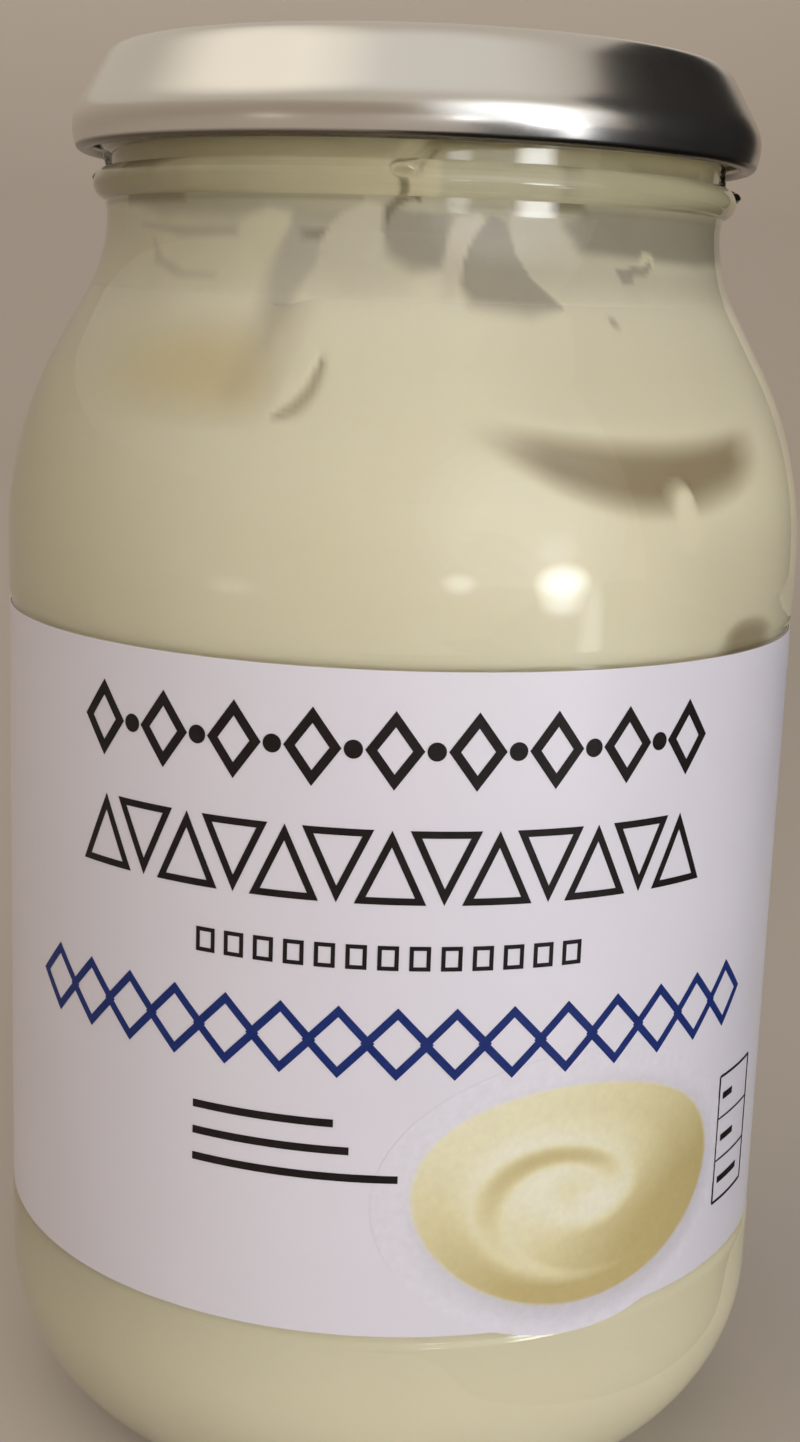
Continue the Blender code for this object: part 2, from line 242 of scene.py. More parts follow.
class Shader:
    """A material's node tree, with short ways to add and join its nodes."""

    def __init__(self, title: str) -> None:
        """Starts a material with one Principled shader joined to its output."""
        self.material = bpy.data.materials.new(title)
        self.material.use_nodes = True
        self.tree = self.material.node_tree
        self.surface = self.tree.nodes["Principled BSDF"]
        self.output = self.tree.nodes["Material Output"]

    def set(self, **values: object) -> None:
        """Sets the Principled shader's own sockets, named with _ for spaces."""
        for key, value in values.items():
            self.surface.inputs[key.replace("_", " ")].default_value = value

    def node(
        self, kind: str, settings: dict[str, object] | None = None, **inputs: object
    ) -> bpy.types.Node:
        """Adds a node.

        Args:
            kind: The node's type.
            settings: Values of the node's own options.
            inputs: Values or output sockets for its inputs, named with _ for spaces.

        Returns:
            The new node.
        """
        made = self.tree.nodes.new(kind)
        for key, value in (settings or {}).items():
            setattr(made, key, value)
        for key, value in inputs.items():
            socket = made.inputs[key.replace("_", " ")]
            if isinstance(value, bpy.types.NodeSocket):
                self.tree.links.new(value, socket)
            else:
                socket.default_value = value
        return made

    def place(self, scale: Sequence[float] = (1, 1, 1)) -> bpy.types.NodeSocket:
        """Gives the piece's own coordinates, stretched by a scale."""
        where = self.node("ShaderNodeTexCoord")
        mapped = self.node("ShaderNodeMapping", Vector=where.outputs["Object"], Scale=tuple(scale))
        return mapped.outputs["Vector"]

    def noise(
        self, scale: float, detail: float, stretch: Sequence[float] = (1, 1, 1)
    ) -> bpy.types.NodeSocket:
        """Gives soft noise, its scale in ripples for each metre."""
        where = self.place(stretch)
        made = self.node("ShaderNodeTexNoise", Vector=where, Scale=scale, Detail=detail, Roughness=0.55)
        return made.outputs["Fac"]

    def ranged(self, value: bpy.types.NodeSocket, low: float, high: float) -> bpy.types.NodeSocket:
        """Spreads noise, which stays near a half, over a range of values."""
        span = {"From_Min": 0.3, "From_Max": 0.7, "To_Min": low, "To_Max": high}
        return self.node("ShaderNodeMapRange", Value=value, **span).outputs["Result"]

    def risen(self, low: float, high: float) -> bpy.types.NodeSocket:
        """Gives 0 at one height of the piece and 1 at another, even between them."""
        height = self.node("ShaderNodeSeparateXYZ", Vector=self.place()).outputs["Z"]
        return self.node("ShaderNodeMapRange", Value=height, From_Min=low, From_Max=high).outputs["Result"]

    def speckled(self, layer: str, scale: float, detail: float) -> bpy.types.NodeSocket:
        """Gives the colours that the piece's attribute holds, made slightly uneven."""
        held = self.node("ShaderNodeAttribute", {"attribute_name": layer}).outputs["Color"]
        cloud = self.ranged(self.noise(scale, detail), 0.94, 1.0)
        shade = self.node("ShaderNodeCombineColor", Red=cloud, Green=cloud, Blue=cloud)
        return self.mixed(1.0, held, shade.outputs["Color"], "MULTIPLY")

    def mixed(
        self,
        share: bpy.types.NodeSocket | float,
        first: bpy.types.NodeSocket | Colour,
        second: bpy.types.NodeSocket | Colour,
        blend: str = "MIX",
    ) -> bpy.types.NodeSocket:
        """Mixes two colours by a share, as the blend mode says."""
        made = self.node("ShaderNodeMix", {"data_type": "RGBA", "blend_type": blend})
        for index, value in ((0, share), (6, first), (7, second)):
            if isinstance(value, bpy.types.NodeSocket):
                self.tree.links.new(value, made.inputs[index])
            else:
                made.inputs[index].default_value = value if index == 0 else (*value, 1.0)
        return made.outputs[2]

    def bumped(self, height: bpy.types.NodeSocket, strength: float, distance: float) -> None:
        """Joins a bump of this height to the shader's normal."""
        made = self.node("ShaderNodeBump", Height=height, Strength=strength, Distance=distance)
        self.tree.links.new(made.outputs["Normal"], self.surface.inputs["Normal"])

    def join(self, value: bpy.types.NodeSocket, socket: str) -> None:
        """Joins an output to one of the Principled shader's sockets."""
        self.tree.links.new(value, self.surface.inputs[socket])


@dataclass(frozen=True)
class JarGlass:
    """Clear pressed glass with a faint green tint and slightly uneven faces."""

    tint: Colour = (0.955, 0.968, 0.93)
    daylight: Colour = (0.93, 0.945, 0.92)
    unevenness: float = 70.0
    softness: float = 0.04

    def build(self) -> bpy.types.Material:
        """Makes the glass. Lamps shine through it, so that what it holds is lit."""
        shader = Shader("jar_glass")
        shader.set(Base_Color=(*self.tint, 1), Roughness=self.softness, IOR=1.5, Transmission_Weight=1.0)
        shader.bumped(shader.noise(self.unevenness, 1.0), 0.10, 0.4 * MM)
        clear = shader.node("ShaderNodeBsdfTransparent", Color=(*self.daylight, 1))
        ray = shader.node("ShaderNodeLightPath")
        mixer = shader.node("ShaderNodeMixShader", Fac=ray.outputs["Is Shadow Ray"])
        shader.tree.links.new(shader.surface.outputs["BSDF"], mixer.inputs[1])
        shader.tree.links.new(clear.outputs["BSDF"], mixer.inputs[2])
        shader.tree.links.new(mixer.outputs["Shader"], shader.output.inputs["Surface"])
        return shader.material


@dataclass(frozen=True)
class WettedGlass:
    """The inner face of the wall where the oily filling wets it, so that it mirrors nothing."""

    colour: Colour = (0.9, 0.88, 0.8)

    def build(self) -> bpy.types.Material:
        """Makes the wetted face, which lets everything through."""
        shader = Shader("wetted_glass")
        shader.set(Base_Color=(*self.colour, 1), Roughness=0.5, Alpha=0.0)
        return shader.material


@dataclass(frozen=True)
class Cream:
    """Thick pale mayonnaise: dense, slightly see-through, with an oily tint and painted shade where it has
    come off the glass.
    """

    body: Colour = (0.88, 0.815, 0.655)
    deep: Colour = (0.85, 0.78, 0.585)
    golden_shade: Colour = (0.75, 0.61, 0.34)
    grey_shade: Colour = (0.50, 0.45, 0.36)
    brown_shade: Colour = (0.36, 0.285, 0.18)
    low: Colour = (0.89, 0.805, 0.605)
    low_end: float = 92.0 * MM
    low_start: float = 110.0 * MM
    painted_shade_layer: str = "tone"
    stain_layer: str = "stain"

    def build(self) -> bpy.types.Material:
        """Makes the cream. Its attributes say where it is smeared, and where painted shade in three hues
        darkens its hollows and cracks.
        """
        shader = Shader("mayonnaise_cream")
        shader.set(
            Roughness=0.38,
            IOR=1.44,
            Subsurface_Weight=0.25,
            Subsurface_Radius=(1.0, 0.75, 0.4),
            Subsurface_Scale=1.6 * MM,
        )
        cloud = shader.ranged(shader.noise(38.0, 3.0), 0.0, 0.8)
        clean = shader.mixed(shader.risen(self.low_start, self.low_end), self.body, self.low)
        colour = shader.mixed(cloud, clean, self.deep)
        stain = shader.node("ShaderNodeAttribute", {"attribute_name": self.stain_layer})
        colour = shader.mixed(stain.outputs["Alpha"], colour, stain.outputs["Color"])
        # Painted shade: this attribute mixes in three hues of shade, darkening the hollows, the cracks and
        # parts of the right side.
        tone = shader.node("ShaderNodeAttribute", {"attribute_name": self.painted_shade_layer})
        parts = shader.node("ShaderNodeSeparateColor", Color=tone.outputs["Color"])
        for channel, shade in (("Red", self.golden_shade), ("Green", self.grey_shade), ("Blue", self.brown_shade)):
            colour = shader.mixed(parts.outputs[channel], colour, shade)
        shader.join(colour, "Base Color")
        shader.join(shader.ranged(shader.noise(160.0, 2.0), 0.30, 0.46), "Roughness")
        shader.bumped(shader.noise(420.0, 3.0), 0.25, 0.12 * MM)
        return shader.material


@dataclass(frozen=True)
class SmearedCream:
    """Mayonnaise wiped on the glass, its colours held by the piece's attribute."""

    layer: str = "smear"

    def build(self) -> bpy.types.Material:
        """Makes the smear's finish."""
        shader = Shader("smeared_cream")
        shader.set(IOR=1.44)
        shader.join(shader.speckled(self.layer, 240.0, 3.0), "Base Color")
        shader.join(shader.ranged(shader.noise(160.0, 2.0), 0.34, 0.5), "Roughness")
        return shader.material


@dataclass(frozen=True)
class SatinTin:
    """Tinplate with a soft sheen, a fine rolled grain and faint rubbing."""

    colour: Colour = (0.80, 0.785, 0.755)
    rubbed: Colour = (0.77, 0.755, 0.725)
    darker_edge: Colour = (0.16, 0.14, 0.12)
    darker_edge_top: float = 132.7 * MM
    darker_edge_full: float = 132.4 * MM
    grain: float = 1400.0
    grain_stretch: tuple[float, float, float] = (0.05, 1.0, 1.0)

    def build(self) -> bpy.types.Material:
        """Makes the tin."""
        shader = Shader("lid_tin")
        shader.set(Metallic=1.0)
        rub = shader.ranged(shader.noise(55.0, 4.0), 0.0, 0.7)
        bright = shader.mixed(rub, self.colour, self.rubbed)
        # The rolled edge's colour turns dark from 132.7 mm down, fully so below 132.4 mm.
        low = shader.risen(self.darker_edge_top, self.darker_edge_full)
        shader.join(shader.mixed(low, bright, self.darker_edge), "Base Color")
        shader.join(shader.ranged(shader.noise(90.0, 2.0), 0.20, 0.25), "Roughness")
        shader.bumped(shader.noise(self.grain, 1.0, self.grain_stretch), 0.10, 0.02 * MM)
        return shader.material


@dataclass(frozen=True)
class LabelPaper:
    """Smooth white label paper with a light varnish and faint fibres."""

    colour: Colour = (0.775, 0.747, 0.835)
    shade: Colour = (0.75, 0.722, 0.81)

    def build(self) -> bpy.types.Material:
        """Makes the bare paper."""
        shader = Shader("label_paper")
        shader.set(Coat_Weight=0.45, Coat_Roughness=0.26, IOR=1.46)
        cloud = shader.ranged(shader.noise(60.0, 3.0), 0.0, 1.0)
        shader.join(shader.mixed(cloud, self.colour, self.shade), "Base Color")
        shader.join(shader.ranged(shader.noise(300.0, 2.0), 0.42, 0.56), "Roughness")
        shader.bumped(shader.noise(1500.0, 3.0), 0.18, 0.03 * MM)
        return shader.material


@dataclass(frozen=True)
class Ink:
    """One printing ink, laid slightly unevenly on the paper."""

    title: str
    colour: Colour
    thin: Colour

    def build(self) -> bpy.types.Material:
        """Makes the dry ink."""
        shader = Shader(self.title)
        shader.set(Specular_IOR_Level=0.2, IOR=1.46)
        patchy = shader.ranged(shader.noise(700.0, 3.0), 0.0, 1.0)
        shader.join(shader.mixed(patchy, self.colour, self.thin), "Base Color")
        shader.join(shader.ranged(shader.noise(300.0, 2.0), 0.40, 0.54), "Roughness")
        return shader.material


@dataclass(frozen=True)
class PictureInk:
    """The soft colours of the printed cream swirl, held by the piece's own attribute."""

    layer: str = "print"

    def build(self) -> bpy.types.Material:
        """Makes the printed picture's finish."""
        shader = Shader("picture_ink")
        shader.set(Coat_Weight=0.45, Coat_Roughness=0.26, IOR=1.46)
        shader.join(shader.speckled(self.layer, 1200.0, 2.0), "Base Color")
        shader.join(shader.ranged(shader.noise(300.0, 2.0), 0.42, 0.56), "Roughness")
        return shader.material


@dataclass(frozen=True)
class PlainPaint:
    """A matt painted surface of the studio, which may grow lighter further up, as painted light on it."""

    title: str
    colour: Colour
    painted_light_above: Colour
    rise: Point2 = (0.2, 0.45)
    roughness: float = 0.9

    def build(self) -> bpy.types.Material:
        """Makes the paint."""
        shader = Shader(self.title)
        shader.set(Roughness=self.roughness)
        # Painted light: the colour turns lighter between the two heights of the rise.
        shader.join(shader.mixed(shader.risen(*self.rise), self.colour, self.painted_light_above), "Base Color")
        return shader.material


@dataclass
class JarShape:
    """The jar's turned outlines, which the glass, the filling and the label share."""

    body_radius: float = 40.9 * MM
    panel_radius: float = 40.6 * MM
    panel_bottom: float = 23.9 * MM
    panel_top: float = 88.1 * MM
    panel_step: float = 0.6 * MM
    heel_radius: float = 17.8 * MM
    heel_turn: float = 78.0
    base_ring_inner: float = 22.0 * MM
    punt_radius: float = 17.0 * MM
    punt_edge_rise: float = 1.6 * MM
    punt_rise: float = 2.3 * MM
    shoulder_start: float = 94.0 * MM
    shoulder_radius: float = 40.0 * MM
    shoulder_turn: float = 28.4
    neck_radius: float = 31.0 * MM
    neck_curve_radius: float = 16.0 * MM
    neck_line: float = 126.3 * MM
    bead_height: float = 129.0 * MM
    bead_centre: float = 30.8 * MM
    bead_radius: float = 1.6 * MM
    finish_radius: float = 30.8 * MM
    finish_lean: float = 0.28 * MM
    finish_foot: float = 133.2 * MM
    neck_start: float = 180.9
    neck_step: float = 0.15 * MM
    wall: float = 2.7 * MM
    base_thickness: float = 3.0 * MM
    floor_lift: float = 0.6 * MM
    mouth_radius: float = 28.3 * MM
    rim_height: float = 141.0 * MM
    rim_round: float = 1.1 * MM
    smears_top: float = 139.6 * MM

    def lean(self, inset: float, steps: int, start: float = 180.0) -> list[Point2]:
        """Gives the lean from the neck down to the body, moved inwards by an inset."""
        neck = (self.neck_radius + self.neck_curve_radius, self.neck_line)
        body = (self.body_radius - self.shoulder_radius, self.shoulder_start)
        sweep = arc(neck, self.neck_curve_radius + inset, start, 180 + self.shoulder_turn, steps)
        return sweep + arc(body, self.shoulder_radius - inset, self.shoulder_turn, 0, steps)

    def heel_centre(self) -> Point2:
        """Gives the middle of the heel's arc."""
        drop = self.heel_radius * math.sin(math.radians(self.heel_turn))
        return self.body_radius - self.heel_radius, drop

    def outside(self) -> list[Point2]:
        """Gives the outer side of the glass, from the rim to the middle of the base."""
        foot = self.neck_radius + self.neck_step
        half_bead = math.degrees(math.acos((foot - self.bead_centre) / self.bead_radius))
        rim = (self.finish_radius - self.rim_round, self.rim_height - self.rim_round)
        bead = arc((self.bead_centre, self.bead_height), self.bead_radius, 90, -half_bead, 14)
        bead[0] = (bead[0][0] - self.finish_lean, bead[0][1])
        panel = [
            (self.body_radius, self.panel_top + self.panel_step, 0.5 * MM),
            (self.panel_radius, self.panel_top, 0.4 * MM),
            (self.panel_radius, self.panel_bottom, 0.4 * MM),
            (self.body_radius, self.panel_bottom - self.panel_step, 0.5 * MM),
        ]
        above = (self.body_radius, self.shoulder_start, 0.0)
        below = (self.body_radius, self.heel_centre()[1], 0.0)
        recess = filleted([above, *panel, below], 3)[1:-1]
        heel = arc(self.heel_centre(), self.heel_radius, 0, -self.heel_turn, 22)
        heel[-1] = (heel[-1][0], 0)
        base = filleted(
            [
                (heel[-1][0], 0, 0),
                (self.base_ring_inner, 0, 1.2 * MM),
                (self.punt_radius, self.punt_edge_rise, 2.5 * MM),
                (0, self.punt_rise, 0),
            ]
        )[1:]
        finish = arc(rim, self.rim_round, 60, 0, 5) + [(self.finish_radius, self.finish_foot)]
        lean = self.lean(0, 26, self.neck_start)
        (r0, z0), (r1, z1) = bead[-1], lean[0]
        cone = [(r0 + (r1 - r0) * share, z0 + (z1 - z0) * share) for share in (0.1, 0.9)]
        return finish + bead + cone + lean + recess + heel + base

    def inside(self) -> list[Point2]:
        """Gives the inner side of the glass, from the middle of its floor to the rim."""
        centre = self.heel_centre()
        floor = [
            (0, self.punt_rise + self.base_thickness),
            (self.punt_radius, self.punt_edge_rise + self.base_thickness),
        ]
        heel = arc((centre[0], centre[1] + self.floor_lift), self.heel_radius - self.wall, -90, 0, 18)
        lean = list(reversed(self.lean(self.wall, 22)))
        rim_centre = (self.mouth_radius + self.rim_round, self.rim_height - self.rim_round)
        rim = arc(rim_centre, self.rim_round, 180, 90, 5)
        return floor + heel + lean + rim

    def inner_radius(self, height: np.ndarray | float) -> np.ndarray | float:
        """Gives the inner radius of the glass at a height."""
        line = self.inside()[1:-5]
        return np.interp(height, [z for _, z in line], [r for r, _ in line])


@dataclass
class GlassJar:
    """The pressed glass jar, with its transfer bead and four thread starts."""

    shape: JarShape = field(default_factory=JarShape)
    finish: JarGlass = field(default_factory=JarGlass)
    wetted: WettedGlass = field(default_factory=WettedGlass)
    around: int = 272
    longest: float = 1.6 * MM
    finish_step: float = 0.35 * MM
    threads: int = 4
    thread_first: float = -2.0
    thread_foot: float = 130.2 * MM
    thread_knee: float = 132.9 * MM
    thread_head: float = 135.0 * MM
    knee_turn: float = 5.0
    thread_turn: float = 64.0
    thread_stands: float = 1.0 * MM
    thread_half_width: float = 0.85 * MM
    thread_samples: int = 160
    surface_reach: float = 0.5 * MM
    wet_reach: float = 0.3 * MM
    sharp_corner: float = 60.0

    def outline(self) -> list[Point2]:
        """Gives the whole closed outline of the wall, finely divided where the threads are."""
        inner = divided(self.shape.inside(), self.longest)
        outer = self.shape.outside()
        straight = [p for p in outer if p[1] > self.shape.bead_height + self.shape.bead_radius * 0.99]
        rest = outer[len(straight):]
        lower = divided([straight[-1]] + rest, self.longest)[1:]
        return inner + divided(straight, self.finish_step) + lower

    def thread_line(self, turn: np.ndarray) -> np.ndarray:
        """Gives the height of a thread's middle at a turn from its foot, in degrees."""
        return np.interp(
            turn,
            [0, self.knee_turn, self.thread_turn],
            [self.thread_foot, self.thread_knee, self.thread_head],
        )

    def raise_threads(self, places: np.ndarray) -> np.ndarray:
        """Raises the threads out of the straight wall under the lid.

        Args:
            places: The vertices of the turned glass.

        Returns:
            The vertices with the threads.
        """
        radius = np.hypot(places[:, 0], places[:, 1])
        azimuth = np.degrees(np.arctan2(places[:, 0], -places[:, 1]))
        height = places[:, 2]
        outer = (radius > self.shape.finish_radius - self.surface_reach) & (height > self.shape.bead_height)
        outer &= height < self.shape.rim_height - 1.5 * self.shape.rim_round
        lift = np.zeros(len(places))
        bend = math.radians(1) * self.shape.finish_radius
        for k in range(self.threads):
            turn = apart(azimuth, self.thread_first + 360 / self.threads * k)
            nearest = np.full(len(places), 1.0)
            for sample in np.linspace(0, self.thread_turn, self.thread_samples):
                along = (turn - sample) * bend
                up = height - self.thread_line(sample)
                nearest = np.minimum(nearest, np.hypot(along, up))
            lift = np.maximum(lift, self.thread_stands * np.exp(-((nearest / self.thread_half_width) ** 4)))
        scale = np.where(outer, (radius + lift) / np.maximum(radius, MM), 1.0)
        moved = places.copy()
        moved[:, 0] *= scale
        moved[:, 1] *= scale
        return moved

    def wet(self, jar: bpy.types.Object) -> None:
        """Gives the inner faces that the filling or its smears cover the wetted finish."""
        centres = np.empty(len(jar.data.polygons) * 3)
        jar.data.polygons.foreach_get("center", centres)
        x, y, z = centres.reshape(-1, 3).T
        inner = np.hypot(x, y) < self.shape.inner_radius(z) + self.wet_reach
        inner &= z > self.shape.punt_edge_rise + self.shape.base_thickness / 2
        wetted = inner & (z < self.shape.smears_top)
        jar.data.polygons.foreach_set("material_index", wetted.astype(np.int32))

    def build(self) -> list[bpy.types.Object]:
        """Makes the glass piece."""
        jar = Bench.turned("jar", self.outline(), self.around)
        Bench.move(jar, self.raise_threads(Bench.points(jar)))
        bpy.ops.object.shade_smooth_by_angle(angle=math.radians(self.sharp_corner))
        jar.data.materials.append(self.finish.build())
        jar.data.materials.append(self.wetted.build())
        self.wet(jar)
        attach(jar, "root")
        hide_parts("jar_glass")
        return [jar]


@dataclass(frozen=True)
class Pocket:
    """A place where the filling has come off the glass, its edges sharp or faded, darkened with painted
    shade.
    """

    left: float
    right: float
    middle: float
    top: float
    bottom: float
    depth: float
    top_curve: float = 0.0
    bottom_curve: float = 0.0
    fade_left: float = 6.0
    fade_right: float = 6.0
    fade_top: float = 2.0 * MM
    fade_bottom: float = 2.0 * MM
    tone: Colour = (0.0, 0.0, 0.0)

    def share(self, azimuth: np.ndarray, height: np.ndarray) -> np.ndarray:
        """Says how far inside the pocket each place is, from 0 to 1."""
        across = apart(azimuth, self.middle)
        top = self.top + self.top_curve * across**2
        bottom = self.bottom + self.bottom_curve * across**2
        made = smooth((top - height) / self.fade_top)
        made = made * smooth((height - bottom) / self.fade_bottom)
        made = made * smooth(apart(azimuth, self.left) / self.fade_left)
        return made * smooth(apart(self.right, azimuth) / self.fade_right)


@dataclass(frozen=True)
class Trough:
    """A crack or smear along a bent line on the glass, thinner at its ends, darkened with painted shade."""

    route: tuple[tuple[float, float], ...]
    half_width: float
    depth: float
    tone: Colour = (0.0, 0.0, 0.0)
    sharpness: float = 2.0
    taper: float = 0.65
    farthest: float = 4.0

    def share(self, azimuth: np.ndarray, height: np.ndarray, degree: float) -> np.ndarray:
        """Says how near the trough's line each place is, from 0 to 1.

        Args:
            azimuth: The places' azimuths.
            height: The places' heights.
            degree: The length of one degree on the glass.

        Returns:
            1 on the line, 0 away from it.
        """
        best = np.full(np.shape(azimuth), self.farthest)
        pieces = len(self.route) - 1
        for i, ((a0, z0), (a1, z1)) in enumerate(zip(self.route, self.route[1:])):
            x = apart(azimuth, a0) * degree
            y = height - z0
            dx, dy = (a1 - a0) * degree, z1 - z0
            along = np.clip((x * dx + y * dy) / (dx * dx + dy * dy), 0, 1)
            run = (i + along) / pieces
            taper = 1 - self.taper * (1 - np.sin(np.pi * np.clip(run, 0.02, 0.98)) ** 0.7)
            far = np.hypot(x - along * dx, y - along * dy) / (self.half_width * taper)
            best = np.minimum(best, far)
        return np.exp(-(best**self.sharpness))


# The last triple of each is its painted shade, as shares of three hues; those with no depth are shade
# alone.
POCKETS = (
    Pocket(
        left=-60, right=-15.5, middle=-31, top=118.0 * MM, bottom=105.6 * MM, depth=0.9 * MM,
        fade_left=30, fade_right=10, fade_top=6.5 * MM, fade_bottom=5.6 * MM, tone=(0.9, 0, 0),
    ),
    Pocket(
        left=5, right=60, middle=37, top=107.4 * MM, bottom=99.6 * MM, depth=2.0 * MM,
        top_curve=2.6e-6, bottom_curve=8e-6,
        fade_left=16, fade_right=9, fade_top=3.4 * MM, fade_bottom=2.8 * MM, tone=(0.15, 0, 1.0),
    ),
    Pocket(
        left=45, right=64, middle=54, top=90.8 * MM, bottom=84.5 * MM, depth=0.9 * MM, top_curve=-2.2e-5,
        fade_left=7, fade_right=6, fade_top=2.2 * MM, fade_bottom=1.0 * MM, tone=(0.6, 0, 0.8),
    ),
    # painted shade alone, with no hollow: it darkens the cream on the right
    Pocket(
        left=6, right=66, middle=30, top=121.0 * MM, bottom=103.0 * MM, depth=0.0,
        fade_left=16, fade_right=18, fade_top=5.0 * MM, fade_bottom=7.0 * MM, tone=(0, 0.2, 0),
    ),
    # painted shade alone, with no hollow: it darkens the cream lower down on the right
    Pocket(
        left=30, right=84, middle=52, top=102.0 * MM, bottom=83.0 * MM, depth=0.0,
        fade_left=18, fade_right=10, fade_top=7.0 * MM, fade_bottom=1.0 * MM, tone=(0, 0.28, 0),
    ),
    Pocket(
        left=110, right=146, middle=128, top=111.4 * MM, bottom=105.0 * MM, depth=2.2 * MM,
        top_curve=1.6e-6, bottom_curve=4e-6,
        fade_left=8, fade_right=6, fade_top=2.4 * MM, fade_bottom=1.6 * MM, tone=(0.5, 0, 0.6),
    ),
    Pocket(
        left=-157, right=-127, middle=-142, top=103.6 * MM, bottom=98.6 * MM, depth=2.0 * MM,
        top_curve=2e-6, bottom_curve=6e-6,
        fade_left=7, fade_right=8, fade_top=2.2 * MM, fade_bottom=1.4 * MM, tone=(0.2, 0, 0.8),
    ),
)
TROUGHS = (
    # the channel, with painted shade along it
    Trough(
        ((-25.0, 110.0 * MM), (-21.5, 114 * MM), (-19, 122 * MM)),
        half_width=2.9 * MM, depth=0.4 * MM, tone=(0.25, 0.2, 0),
    ),
    # the crescent crack, with painted shade in it
    Trough(
        ((-17.6, 107.9 * MM), (-15.2, 108.8 * MM), (-13.4, 110.2 * MM), (-12.1, 112.8 * MM)),
        half_width=0.6 * MM, depth=0.5 * MM, tone=(0.3, 0, 0.6),
    ),
    # a small dent, with painted shade in it
    Trough(((32.4, 116.9 * MM), (34.0, 116.3 * MM)), 0.4 * MM, 0.3 * MM, (0, 0, 0.6)),
)
LUMPS = (
    Trough(((39.6, 98.6 * MM), (39.2, 101.5 * MM)), 1.5 * MM, 1.0, sharpness=6.0, taper=0.0),
)


@dataclass(frozen=True)
class Patch:
    """A patch of one colour on the smeared neck, sharp where its softness is small."""

    outline: tuple[tuple[float, float, float], ...]
    colour: Colour
    level: float = 1.0
    covers: bool = False
    nearness: float = 0.05 * MM

    def share(self, azimuth: np.ndarray, height: np.ndarray, degree: float) -> np.ndarray:
        """Says how far inside the outline each place is.

        Args:
            azimuth: The places' azimuths.
            height: The places' heights.
            degree: The length of one degree on the glass.

        Returns:
            1 well inside, 0 well outside, changing over the softness of the nearest corners.
        """
        inside = np.zeros(np.shape(azimuth), bool)
        nearest = np.full(np.shape(azimuth), 1.0)
        weight = np.zeros(np.shape(azimuth))
        softness = np.zeros(np.shape(azimuth))
        middle = sum(corner[0] for corner in self.outline) / len(self.outline)
        across = apart(azimuth, middle)
        for (a0, z0, s0), (a1, z1, s1) in zip(self.outline, self.outline[1:] + self.outline[:1]):
            x = (across - (a0 - middle)) * degree
            y = height - z0 * MM
            dx, dy = (a1 - a0) * degree, (z1 - z0) * MM
            along = np.clip((x * dx + y * dy) / (dx * dx + dy * dy), 0, 1)
            far = np.hypot(x - along * dx, y - along * dy)
            near = 1 / (far + self.nearness) ** 3
            weight += near
            softness += near * (s0 + (s1 - s0) * along) * MM
            nearest = np.minimum(nearest, far)
            if dy:
                inside ^= ((y < 0) != (y < dy)) & (x < y / dy * dx)
        signed = np.where(inside, nearest, -nearest)
        return smooth(0.5 + signed / (softness / weight)) * self.level


